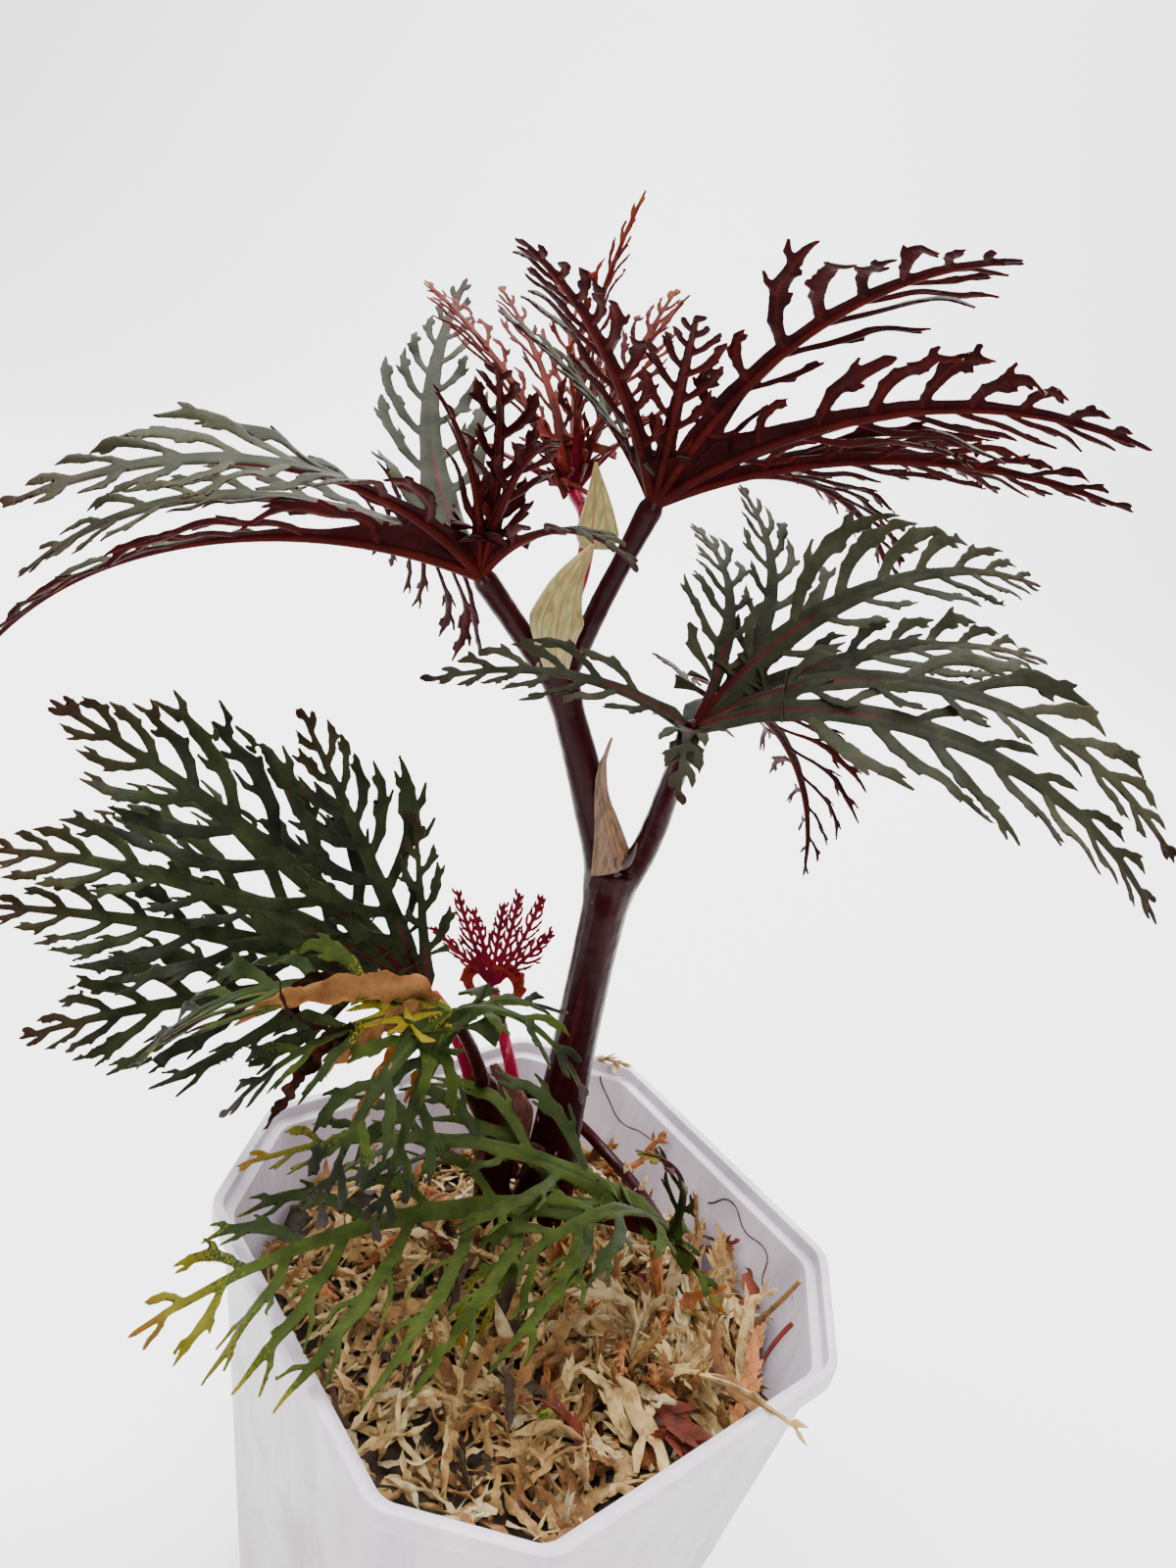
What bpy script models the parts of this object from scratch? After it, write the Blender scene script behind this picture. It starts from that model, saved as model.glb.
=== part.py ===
"""A young fern-leaved begonia in a small eight-sided pot of frosted plastic.

Metres, +Z up. The origin is the middle of the pot's flat underside. The plant
stands in moss, on one main stem that forks, with a short second shoot at its
foot. Each leaf is one thin blade: lobes spread from the tip of its stalk, and
each lobe is cut nearly to its midrib into narrow leaflets.
"""
import bpy
import numpy as np
from math import cos, pi, radians, sin
from mathutils import Vector
from mathutils.geometry import delaunay_2d_cdt

MM = 0.001
GAP = 0.0003                    # clear space between pieces that touch

# Pot: a square whose corners are cut, with a flat stepped lip
POT_HEIGHT = 0.072
RIM_HALF = 0.033                # middle to the flat outside of the lip
CORNER_CUT = 0.38               # corner cut, as a share of the half width
POT_TURN = radians(42.5)
LIP_HEIGHT = 0.0030
LIP_STEP = 0.0010               # the lip stands this far out of the wall
WALL = 0.0012
WALL_TAPER = 0.096              # the half width lost per unit of depth
FLOOR = 0.0020

# Moss: level round the stems, mounded towards the front
MOSS_TOP = POT_HEIGHT - 0.0150
MOSS_RISE = 0.0060
MOSS_BUMP = 0.0009
MOSS_RINGS = 9
MOSS_SEGMENTS = 32
STEM_FOOT = (0.0, 0.0175)
LEVEL_ROUND = 0.0110

# Leaves
BLADE = 0.0008                  # thickness
WEB = 0.20                      # share of a lobe that is joined to the next
LEAFLETS_FROM = 0.245           # where a lobe's leaflets start and end,
LEAFLETS_TO = 0.92              # as shares of its length
LEAFLET_PITCH = 0.0085          # spacing of leaflets along a midrib
LEAFLET_REACH = 0.36            # longest leaflet, as a share of its lobe
MIDRIB_WING = 0.030             # half width of the blade beside the midrib
NARROWEST = 0.00075             # half of the narrowest strip of blade
STATIONS = 25

# A leaflet's corners from its foot: share of its length, share of its breadth
LEAFLET_SHAPE = ((0.0, 0.0), (0.50, 0.50), (0.74, 0.34), (1.0, -0.25), (0.50, -0.62))


def clear_scene():
    for item in list(bpy.data.objects):
        bpy.data.objects.remove(item, do_unlink=True)


def material(name, colour, roughness):
    made = bpy.data.materials.new(name)
    made.use_nodes = True
    shader = made.node_tree.nodes["Principled BSDF"]
    shader.inputs["Base Color"].default_value = (*colour, 1.0)
    shader.inputs["Roughness"].default_value = roughness
    shader.inputs["Metallic"].default_value = 0.0
    return made


def add_object(name, verts, faces, finish, smooth=True):
    mesh = bpy.data.meshes.new(name)
    mesh.from_pydata([tuple(v) for v in verts], [], faces)
    mesh.materials.append(finish)
    mesh.update()
    if smooth:
        mesh.shade_smooth()
        mesh.set_sharp_from_angle(angle=radians(40))
    made = bpy.data.objects.new(name, mesh)
    bpy.context.scene.collection.objects.link(made)
    return made


def ring_loft(rings):
    """Vertices and faces of rings joined in order, with both ends closed."""
    count = len(rings[0])
    verts = [point for ring in rings for point in ring]
    faces = []
    for level in range(len(rings) - 1):
        low = level * count
        for i in range(count):
            j = (i + 1) % count
            faces.append((low + i, low + j, low + count + j, low + count + i))
    last = (len(rings) - 1) * count
    faces.append(tuple(reversed(range(count))))
    faces.append(tuple(range(last, last + count)))
    return verts, faces


# Pot and moss

def octagon(half, height):
    """Corners of the pot's plan at one height, counterclockwise."""
    cut = CORNER_CUT * half
    corners = []
    for quarter in range(4):
        turn = POT_TURN + quarter * pi / 2
        for x, y in ((half, -half + cut), (half, half - cut)):
            corners.append(Vector((x * cos(turn) - y * sin(turn), x * sin(turn) + y * cos(turn), height)))
    return corners


def wall_half(height):
    """Half width of the outside of the pot's wall at a height."""
    return RIM_HALF - LIP_STEP - WALL_TAPER * (POT_HEIGHT - height)


def make_pot(finish):
    lip_foot = POT_HEIGHT - LIP_HEIGHT
    shelf = lip_foot - 2 * LIP_STEP
    rings = [
        octagon(wall_half(0.0), 0.0),
        octagon(wall_half(lip_foot), lip_foot),
        octagon(RIM_HALF, lip_foot + 0.3 * LIP_STEP),
        octagon(RIM_HALF, POT_HEIGHT),
        octagon(RIM_HALF - WALL, POT_HEIGHT),
        octagon(RIM_HALF - WALL, lip_foot),
        octagon(wall_half(shelf) - WALL, shelf),
        octagon(wall_half(FLOOR) - WALL, FLOOR),
    ]
    verts, faces = ring_loft(rings)
    return add_object("pot", verts, faces, finish, smooth=False)


def moss_top(x, y):
    """Height of the moss at a place, level round the stems' feet."""
    forward = min(max(0.5 - 0.5 * y / RIM_HALF, 0.0), 1.0)
    bumps = sin(x * 410 + 1.0) + cos(y * 360 + x * 130)
    away = Vector((x - STEM_FOOT[0], y - STEM_FOOT[1])).length
    share = min(max(away / LEVEL_ROUND - 1.0, 0.0), 1.0)
    return MOSS_TOP + share * (MOSS_RISE * forward + MOSS_BUMP * bumps)


def towards(corners, turn):
    """Where a ray from the middle, in one direction, meets an octagon."""
    ray = Vector((cos(turn), sin(turn)))
    for a, b in zip(corners, corners[1:] + corners[:1]):
        edge = (b - a).to_2d()
        across = ray.cross(edge)
        reach = a.to_2d().cross(edge) / across
        share = a.to_2d().cross(ray) / across
        if reach > 0 and 0 <= share <= 1:
            return ray * reach
    return ray * corners[0].to_2d().length


def make_moss(finish):
    """A solid that fills the pot up to its mounded top."""
    floor_plan = octagon(wall_half(FLOOR) - WALL - GAP, 0.0)
    top_plan = octagon(wall_half(MOSS_TOP) - WALL - GAP, 0.0)
    turns = [2 * pi * (i + 0.5) / MOSS_SEGMENTS for i in range(MOSS_SEGMENTS)]
    floor_points = [towards(floor_plan, turn) for turn in turns]
    rings = [[Vector((p.x, p.y, FLOOR + GAP)) for p in floor_points]]
    for ring in range(MOSS_RINGS, 0, -1):
        points = [towards(top_plan, turn) * ring / MOSS_RINGS for turn in turns]
        rings.append([Vector((p.x, p.y, moss_top(p.x, p.y))) for p in points])
    verts, faces = ring_loft(rings)
    top = faces.pop()
    verts.append(Vector((0, 0, moss_top(0, 0))))
    middle = len(verts) - 1
    faces += [(a, b, middle) for a, b in zip(top, top[1:] + top[:1])]
    return add_object("moss", verts, faces, finish)


# Stems, stalks and sheaths, from points and diameters in millimetres

def smooth_path(points, step):
    """Points about a step apart on a smooth curve through the given ones."""
    ends = [2 * points[0] - points[1], *points, 2 * points[-1] - points[-2]]
    path = []
    for i in range(1, len(ends) - 2):
        a, b, c, d = ends[i - 1:i + 3]
        parts = max(2, round((c - b).length / step))
        for k in range(parts):
            t = k / parts
            path.append(0.5 * (2 * b + (c - a) * t + (2 * a - 5 * b + 4 * c - d) * t ** 2
                               + (3 * b - a - 3 * c + d) * t ** 3))
    path.append(points[-1].copy())
    return path


def sweep(name, points, widths, finish, flat=1.0, level="foot", sides=10, step=0.004):
    """A tapering limb with flat ends, those named in level cut level.

    flat is its depth as a share of its width.
    """
    path = smooth_path([Vector(point) * MM for point in points], step)
    lengths = [0.0]
    for a, b in zip(path, path[1:]):
        lengths.append(lengths[-1] + (b - a).length)
    across = Vector((1, 0, 0))
    rings = []
    for i, point in enumerate(path):
        ahead = (path[min(i + 1, len(path) - 1)] - path[max(i - 1, 0)]).normalized()
        across = (across - ahead * across.dot(ahead)).normalized()
        over = ahead.cross(across) * flat
        width = np.interp(lengths[i] / lengths[-1], np.linspace(0, 1, len(widths)), widths)
        turns = [2 * pi * k / sides for k in range(sides)]
        rings.append([point + (across * cos(turn) + over * sin(turn)) * width * MM / 2 for turn in turns])
    for end, ring, point in (("foot", rings[0], path[0]), ("tip", rings[-1], path[-1])):
        if end in level:
            for corner in ring:
                corner.z = point.z
    verts, faces = ring_loft(rings)
    return add_object(name, verts, faces, finish)


def make_stems(maroon, crimson):
    """Main stem and shoot stand in the moss; the rest starts on their tips."""
    sweep("main_stem", [(1.2, 18, 57.3), (0.8, 19, 70), (0.1, 19.8, 90), (-0.3, 20, 112.5)],
          (9.6, 7.6, 6.9, 6.4, 6.1, 5.9, 5.8, 5.9, 8.0), maroon, level="foot and tip", sides=12)
    sweep("upper_stem", [(-2.0, 20, 112.9), (-7.2, 20, 126), (-12.3, 20.2, 136.5)],
          (4.0, 4.5, 4.3, 3.9, 4.8), maroon, level="foot and tip")
    sweep("lower_shoot", [(-6.2, 15.6, 57.3), (-6.6, 15, 70), (-10.8, 13.8, 79.8)],
          (5.4, 5.0, 4.8, 4.4, 4.6), maroon, level="foot and tip")
    sweep("stalk_right", [(2.0, 20, 112.9), (3.5, 17.2, 124), (3.9, 12.5, 134.5)],
          (3.2, 3.5, 3.2, 2.8, 2.6), maroon)
    sweep("stalk_upper_left", [(-14.1, 19.6, 136.8), (-18.7, 17.6, 142), (-21.6, 15.8, 145.4)],
          (2.8, 3.0, 2.9, 2.7), maroon)
    sweep("stalk_upper_right", [(-10.7, 20.8, 136.8), (-9.3, 20.2, 144), (-6.0, 20, 156.9)],
          (2.5, 2.8, 2.6, 2.5, 2.6), maroon)
    sweep("stalk_young", [(-13.4, 22.9, 136.8), (-12.0, 23.6, 149), (-13.2, 27.5, 153.6), (-14.9, 31.2, 155.1)],
          (2.0, 2.0, 1.9, 1.8, 1.8), crimson, sides=8)
    sweep("stalk_lower_left", [(-12.1, 14.7, 80.2), (-15.2, 14.3, 87.6), (-19.2, 14.1, 92.0)],
          (2.2, 2.5, 2.4, 2.2), crimson, sides=8)
    sweep("stalk_drying", [(-10.3, 12.3, 80.2), (-12.9, 8, 91), (-14.9, 3, 98.0)],
          (1.8, 1.8, 1.7, 1.6), maroon, sides=8)
    sweep("stalk_lowest", [(-3.9, 21.2, 61.6), (-6.6, 25.2, 68), (-2.8, 28.2, 70), (3.8, 27.8, 66.5),
                           (9.4, 24.5, 64.6), (14.3, 16.5, 66.3), (17.0, 5.6, 70.5)],
          (1.9, 1.9, 1.8, 1.8, 1.8, 1.8, 1.8), maroon, level="", sides=8)
    sweep("stalk_newest", [(-3.6, 20.3, 66.4), (-5.6, 21.1, 73), (-9.2, 22.4, 82), (-12.2, 23.8, 88.4)],
          (2.0, 2.0, 1.9, 1.8, 1.6), crimson, level="", sides=8)


def make_sheaths(straw, pink, brown):
    """Pointed sheaths round the buds and at the fork; their broad side is -Y."""
    sweep("bud_sheath", [(-11.9, 16.9, 137.2), (-13.0, 16.9, 142.4), (-11.3, 17.4, 152.3)],
          (2.6, 4.0, 4.5, 4.3, 3.4, 2.3, 1.4, 0.5), straw, flat=0.75, level="", step=0.002)
    sweep("tip_sheath", [(-10.9, 21.2, 151.2), (-11.6, 21.3, 155), (-13.0, 21.6, 160)],
          (4.1, 4.4, 3.4, 2.0, 0.5), straw, flat=0.5, level="", step=0.002)
    sweep("foot_sheath", [(-3.9, 18.3, 69), (-5.9, 18.2, 75), (-9.9, 18.6, 80.5)],
          (2.6, 4.4, 4.4, 3.0, 0.6), pink, flat=0.3, level="", step=0.002)
    sweep("fork_sheath", [(-0.4, 16.6, 113.2), (-1.7, 16.7, 120), (-4.6, 17.1, 128.4)],
          (4.4, 4.0, 3.0, 1.8, 0.6), brown, flat=0.16, level="", step=0.003)


# Leaves

def lobe(turn, rise, fall, reach, swing=0, roll=0, wide=1.0):
    """One lobe of a leaf, in degrees and millimetres.

    It sets out towards turn (0 is +X, 90 is +Y) at rise above level, bends
    down by fall and round by swing on its way, and its blade leans by roll.
    """
    return dict(turn=turn, rise=rise, fall=fall, reach=reach * MM, swing=swing, roll=roll, wide=wide)


LEAVES = {
    "leaf_upper_left": dict(centre=(-22.6, 15, 147), lobes=[
        lobe(110, -5, 5, 43, swing=30, roll=70, wide=1.2),
        lobe(130, 20, -20, 60, swing=-45),
        lobe(185, 25, 75, 55, roll=15),
        lobe(205, 15, 70, 60, swing=-35, roll=35),
        lobe(225, 40, 70, 51, roll=20),
        lobe(245, 80, 50, 24),
        lobe(270, 100, 85, 29),
        lobe(295, 80, 65, 24),
        lobe(320, 55, 75, 27, swing=-10),
    ]),
    "leaf_upper_right": dict(centre=(-5.7, 20, 158), lobes=[
        lobe(190, 55, 35, 26, roll=-15),
        lobe(235, 55, 45, 40, swing=15),
        lobe(270, 65, 50, 30),
        lobe(310, 65, 65, 52, swing=-15),
        lobe(335, 45, 55, 56, swing=-40, roll=-30),
        lobe(350, 35, 45, 50, roll=-30),
        lobe(365, 40, 60, 48, swing=35, roll=-20),
        lobe(390, 35, 90, 46, swing=10),
    ]),
    "leaf_young": dict(centre=(-15.6, 32, 155.6), lobes=[
        lobe(0, 65, 30, 18),
        lobe(30, 105, 35, 34),
        lobe(100, 40, 0, 38, swing=20),
        lobe(160, 50, 35, 37, swing=-25),
        lobe(190, 20, 10, 14),
    ]),
    "leaf_right": dict(centre=(4, 12, 135.7), lobes=[
        lobe(195, 30, 55, 31, roll=-30),
        lobe(260, 25, 75, 15, swing=15),
        lobe(330, 40, 90, 58, swing=30, roll=35, wide=0.8),
        lobe(350, 50, 95, 57, swing=-10, roll=30, wide=0.8),
        lobe(375, 45, 55, 47, swing=10, roll=20),
        lobe(395, 60, 70, 53, swing=-10, roll=35),
        lobe(400, 45, 15, 40, swing=95),
        lobe(420, 60, 45, 32, swing=75),
        lobe(435, 15, 100, 56, swing=-60),
    ]),
    "leaf_lower_left": dict(centre=(-19.9, 14, 92.6), lobes=[
        lobe(200, 78, 0, 26, roll=-70),
        lobe(195, 62, 0, 42, swing=10, roll=-60),
        lobe(187, 42, 18, 57, roll=-50),
        lobe(183, 26, 36, 58, roll=-45),
        lobe(186, 12, 20, 55, roll=-40),
        lobe(192, -2, 26, 51, roll=-40),
    ]),
    "leaf_drying": dict(centre=(-15.2, 2, 99.2), lobes=[
        lobe(190, 20, 90, 44, swing=-15),
        lobe(210, 10, 70, 29),
        lobe(240, 0, 75, 29, swing=20),
        lobe(262, -20, 60, 27),
        lobe(340, 45, 100, 21, swing=-10),
        lobe(380, 25, 50, 14),
    ]),
    "leaf_lowest": dict(centre=(17.2, 4, 71.8), lobes=[
        lobe(180, 35, 60, 57, swing=20, wide=0.85),
        lobe(195, 24, 50, 66, swing=25, wide=1.3),
        lobe(215, 60, 125, 39, swing=15),
        lobe(320, -5, 35, 10),
        lobe(400, 75, -90, 20, swing=-10),
    ]),
    "leaf_newest": dict(centre=(-12.5, 24, 89.3), lobes=[
        lobe(0, 75, 20, 15),
        lobe(95, 80, 20, 14),
        lobe(190, 70, 20, 13),
    ]),
}


def run_midrib(centre, row):
    """Stations along a lobe: points, directions and sideways vectors."""
    share = np.linspace(0, 1, STATIONS)
    pitch = np.radians(row["rise"] - row["fall"] * share)
    yaw = np.radians(row["turn"] + row["swing"] * share)
    ahead = np.stack([np.cos(pitch) * np.cos(yaw), np.cos(pitch) * np.sin(yaw), np.sin(pitch)], 1)
    steps = (ahead[1:] + ahead[:-1]) / 2 * row["reach"] / (STATIONS - 1)
    level = np.stack([-np.sin(yaw), np.cos(yaw), np.zeros(STATIONS)], 1)
    roll = radians(row["roll"])
    return dict(points=centre + np.vstack([np.zeros(3), np.cumsum(steps, 0)]), ahead=ahead,
                side=level * cos(roll) + np.cross(ahead, level) * sin(roll),
                reach=row["reach"], wide=row["wide"])


def place(rib, x, y):
    """The place in space of a flat point, x along and y beside a midrib."""
    inside = min(max(x, 0.0), rib["reach"])
    at = inside / rib["reach"] * (STATIONS - 1)
    low = min(int(at), STATIONS - 2)
    part = at - low
    point, side, ahead = (rib[key][low] * (1 - part) + rib[key][low + 1] * part
                          for key in ("points", "side", "ahead"))
    return point + side * y + ahead * (x - inside)


def wing(rib, x):
    """Half width of the strip of blade that runs beside the midrib."""
    return max(MIDRIB_WING * rib["reach"] * (1 - 0.55 * x / rib["reach"]), NARROWEST)


def leaflet_length(rib, others, x, lean, hand):
    """Full length for its place, cut back to keep to its own lobe's side."""
    share = x / rib["reach"]
    full = LEAFLET_REACH * rib["wide"] * rib["reach"] * 1.4 * (1 - share) ** 0.8
    full *= min(1.0, 0.6 + 1.4 * (share - WEB))
    for cut in (1.0, 0.85, 0.7, 0.55, 0.4):
        aside = wing(rib, x) + sin(lean) * full * cut
        tip = place(rib, x + cos(lean) * full * cut, hand * aside)
        nearest = min(np.linalg.norm(other["points"] - tip, axis=1).min() for other in others)
        if nearest > aside + NARROWEST:
            break
    return full * cut


def leaflet(rib, others, x, pitch, hand):
    """Outline of one leaflet, from its foot round to the next one's foot."""
    lean = radians(44 - 16 * x / rib["reach"])
    length = leaflet_length(rib, others, x, lean, hand)
    breadth = min(0.46 * pitch * sin(lean), 0.5 * length)
    points = []
    for along, back in LEAFLET_SHAPE:
        forward = cos(lean) * along * length - sin(lean) * back * breadth
        aside = sin(lean) * along * length + cos(lean) * back * breadth
        points.append((x + forward, hand * (wing(rib, x) + aside)))
    notch = x + 0.72 * pitch
    return points + [(notch, hand * wing(rib, notch))]


def lobe_edge(rib, others, hand, joint):
    """One side of a lobe, from its joint with the next lobe out to its tip."""
    start, end = LEAFLETS_FROM * rib["reach"], LEAFLETS_TO * rib["reach"]
    count = max(1, round((end - start) / LEAFLET_PITCH))
    pitch = (end - start) / count
    stagger = 0.0 if hand > 0 else 0.3
    points = [joint]
    for k in range(count):
        x = start + pitch * (k + stagger)
        if x + 0.72 * pitch < 0.97 * rib["reach"]:
            points += leaflet(rib, others, x, pitch, hand)
    return points


def flat_lobe(rib, others, right_joint, left_joint):
    """Flat points of a lobe and the triangles between them."""
    reach = rib["reach"]
    right = lobe_edge(rib, others, -1, right_joint)
    left = lobe_edge(rib, others, 1, left_joint)
    outline = [(0.0, 0.0)] + right + [(reach, 0.0)] + left[::-1]
    spine = [(reach * share, 0.0) for share in (0.2, 0.4, 0.6, 0.8)]
    along = [0] + [len(outline) + k for k in range(len(spine))] + [1 + len(right)]
    coords = [Vector(point) for point in outline + spine]
    made = delaunay_2d_cdt(coords, list(zip(along, along[1:])), [list(range(len(outline)))], 1, 1e-7)
    return made[0], made[2]


def joint_between(first, second):
    """Where two neighbour lobes part: its flat places and its place in space."""
    across = np.arccos(np.clip(np.dot(first["ahead"][0], second["ahead"][0]), -1, 1))
    half = min(max(across / 2, radians(9)), radians(36))
    reach = WEB * min(first["reach"], second["reach"])
    left = (reach * cos(half), reach * sin(half))
    right = (left[0], -left[1])
    return left, right, (place(first, *left) + place(second, *right)) / 2


def make_leaf(name, centre, rows, finish):
    """A blade whose lobes stand in order round the tip of the leaf's stalk."""
    centre = np.array(centre) * MM
    ribs = [run_midrib(centre, row) for row in rows]
    joints = [joint_between(a, b) for a, b in zip(ribs, ribs[1:])]
    mids = [centre] + [joint[2] for joint in joints]
    triangles = []
    for i, rib in enumerate(ribs):
        open_edge = 0.5 * WEB * rib["reach"]
        free = (open_edge * cos(radians(28)), open_edge * sin(radians(28)))
        right = joints[i - 1][1] if i > 0 else (free[0], -free[1])
        left = joints[i][0] if i < len(joints) else free
        shared = {0: Vector((0, 0))}
        if i > 0:
            shared[i] = Vector(right)
        if i < len(joints):
            shared[i + 1] = Vector(left)
        points, faces = flat_lobe(rib, ribs[:i] + ribs[i + 1:], right, left)
        index = []
        for point in points:
            known = [k for k, spot in shared.items() if (spot - point).length < 1e-7]
            index.append(known[0] if known else len(mids))
            if not known:
                mids.append(place(rib, point.x, point.y))
        triangles += [tuple(index[k] for k in face) for face in faces]
    return add_blade(name, np.array(mids), triangles, finish)


def add_blade(name, mids, triangles, finish):
    """A sheet of triangles thickened to a closed blade."""
    normals = np.zeros_like(mids)
    for a, b, c in triangles:
        normals[[a, b, c]] += np.cross(mids[b] - mids[a], mids[c] - mids[a])
    normals *= BLADE / 2 / np.linalg.norm(normals, axis=1)[:, None]
    count = len(mids)
    edges = {edge for a, b, c in triangles for edge in ((a, b), (b, c), (c, a))}
    faces = list(triangles)
    faces += [(c + count, b + count, a + count) for a, b, c in triangles]
    faces += [(b, a, a + count, b + count) for a, b in sorted(edges) if (b, a) not in edges]
    return add_object(name, np.vstack([mids + normals, mids - normals]), faces, finish)


def main():
    clear_scene()
    maroon = material("maroon_stem", (0.10, 0.015, 0.020), 0.35)
    crimson = material("crimson_stalk", (0.35, 0.03, 0.05), 0.40)
    straw = material("straw_sheath", (0.60, 0.50, 0.25), 0.55)
    pink = material("pink_sheath", (0.45, 0.20, 0.15), 0.50)
    brown = material("dry_sheath", (0.25, 0.12, 0.06), 0.80)
    green = material("leaf_green", (0.05, 0.09, 0.05), 0.45)
    red = material("leaf_red", (0.35, 0.04, 0.03), 0.50)
    make_pot(material("frosted_plastic", (0.80, 0.79, 0.80), 0.45))
    make_moss(material("moss", (0.62, 0.47, 0.28), 0.95))
    make_stems(maroon, crimson)
    make_sheaths(straw, pink, brown)
    for name, leaf in LEAVES.items():
        finish = red if name in ("leaf_young", "leaf_newest") else green
        make_leaf(name, leaf["centre"], leaf["lobes"], finish)


main()
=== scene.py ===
# Potted fern-leaved begonia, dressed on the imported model's frame.
# The frame is in metres; the dictionaries give millimetres and degrees.
from math import cos, pi, radians, sin

import bpy
import numpy as np
from mathutils import Matrix, Vector


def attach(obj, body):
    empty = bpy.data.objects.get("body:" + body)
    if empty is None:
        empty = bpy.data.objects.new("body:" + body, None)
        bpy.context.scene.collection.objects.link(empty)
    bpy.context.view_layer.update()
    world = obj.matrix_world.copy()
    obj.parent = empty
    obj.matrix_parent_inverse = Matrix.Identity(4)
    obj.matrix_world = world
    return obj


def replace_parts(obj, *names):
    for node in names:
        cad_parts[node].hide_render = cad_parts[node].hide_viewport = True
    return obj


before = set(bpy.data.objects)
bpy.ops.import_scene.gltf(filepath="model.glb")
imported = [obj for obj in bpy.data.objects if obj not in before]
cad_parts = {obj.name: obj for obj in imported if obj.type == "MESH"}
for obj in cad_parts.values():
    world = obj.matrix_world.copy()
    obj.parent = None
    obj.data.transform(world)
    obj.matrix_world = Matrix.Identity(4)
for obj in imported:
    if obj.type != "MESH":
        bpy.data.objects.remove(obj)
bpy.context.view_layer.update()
mm = 0.001
print("frame loaded")


# Small tools

def toLinear(hexCode):
    # sRGB hex to the linear colour that a shader takes
    parts = [int(hexCode[i:i + 2], 16) / 255 for i in (1, 3, 5)]
    return (*[c / 12.92 if c <= 0.04045 else ((c + 0.055) / 1.055) ** 2.4 for c in parts], 1.0)


def addNode(tree, kind, settings, links):
    node = tree.nodes.new("ShaderNode" + kind)
    for key, value in settings.items():
        if isinstance(key, int) or key in node.inputs:
            node.inputs[key].default_value = value
        else:
            setattr(node, key, value)
    for key, output in links.items():
        tree.links.new(output, node.inputs[key])
    return node


def startMaterial(name):
    made = bpy.data.materials.new(name)
    made.use_nodes = True
    tree = made.node_tree
    return made, tree, tree.nodes["Principled BSDF"]


def deselectAll():
    bpy.ops.object.select_all(action="DESELECT")


def applyAll(piece):
    deselectAll()
    piece.select_set(True)
    bpy.context.view_layer.objects.active = piece
    for modifier in list(piece.modifiers):
        bpy.ops.object.modifier_apply(modifier=modifier.name)


def settle(piece):
    # a finished piece stands at the origin, with its place in its mesh
    deselectAll()
    piece.select_set(True)
    bpy.context.view_layer.objects.active = piece
    bpy.ops.object.transform_apply(location=True, rotation=True, scale=True)


def meshFromArrays(name, points, triangles, slots, materials, sharpOver=70):
    # points in millimetres; slots gives each triangle's material
    mesh = bpy.data.meshes.new(name)
    points = np.asarray(points, float) * mm
    triangles = np.asarray(triangles, np.int32)
    mesh.vertices.add(len(points))
    mesh.vertices.foreach_set("co", points.ravel())
    mesh.loops.add(len(triangles) * 3)
    mesh.loops.foreach_set("vertex_index", triangles.ravel())
    mesh.polygons.add(len(triangles))
    mesh.polygons.foreach_set("loop_start", np.arange(0, len(triangles) * 3, 3, dtype=np.int32))
    mesh.polygons.foreach_set("material_index", np.asarray(slots, np.int32))
    for material in materials:
        mesh.materials.append(material)
    mesh.update(calc_edges=True)
    mesh.validate()
    mesh.shade_smooth()
    mesh.set_sharp_from_angle(angle=radians(sharpOver))
    made = bpy.data.objects.new(name, mesh)
    bpy.context.scene.collection.objects.link(made)
    return made


def smoothStep(values):
    values = np.clip(values, 0.0, 1.0)
    return values * values * (3 - 2 * values)


def smoothPath(points, count):
    # an even, rounded run through the points
    points = np.asarray(points, float)
    lengths = np.concatenate([[0], np.cumsum(np.linalg.norm(np.diff(points, axis=0), axis=1))])
    slopes = np.gradient(points, lengths, axis=0)
    at = np.linspace(0, lengths[-1], count)
    k = np.clip(np.searchsorted(lengths, at, side="right") - 1, 0, len(points) - 2)
    span = (lengths[k + 1] - lengths[k])[:, None]
    t = (at - lengths[k])[:, None] / span
    return ((2 * t ** 3 - 3 * t ** 2 + 1) * points[k] + (t ** 3 - 2 * t ** 2 + t) * span * slopes[k]
            + (3 * t ** 2 - 2 * t ** 3) * points[k + 1] + (t ** 3 - t ** 2) * span * slopes[k + 1])


def curlRun(start, heading, climb, long, sweep=0, curl=0, wander=0, steps=13):
    # a run that keeps turning: round by sweep and up by curl over its length, snaking by wander, in degrees
    share = np.linspace(0, 1, steps)
    yaw = np.radians(heading + sweep * share)
    tilt = np.radians(climb + curl * share + wander * np.sin(4.4 * pi * share))
    ahead = np.stack([np.cos(tilt) * np.cos(yaw), np.cos(tilt) * np.sin(yaw), np.sin(tilt)], 1)
    halfway = (ahead[1:] + ahead[:-1]) / 2 * long / (steps - 1)
    return np.array(start, float) + np.vstack([np.zeros(3), np.cumsum(halfway, 0)])


# Camera, floor and light

view = dict(place=(-5.83, -102.62, 173.39), right=(0.9746, 0.0847, 0.2075),
            up=(-0.2241, 0.3682, 0.9023), back=(0.0, -0.9259, 0.3778), lens=24.75)

bpy.ops.object.camera_add()
camera = bpy.context.object
turn = Matrix((view["right"], view["up"], view["back"])).transposed()
camera.matrix_world = Matrix.Translation(Vector(view["place"]) * mm) @ turn.to_4x4()
camera.data.lens = view["lens"]
camera.data.sensor_width = 36
camera.data.clip_start = 0.005
bpy.context.scene.camera = camera

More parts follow.
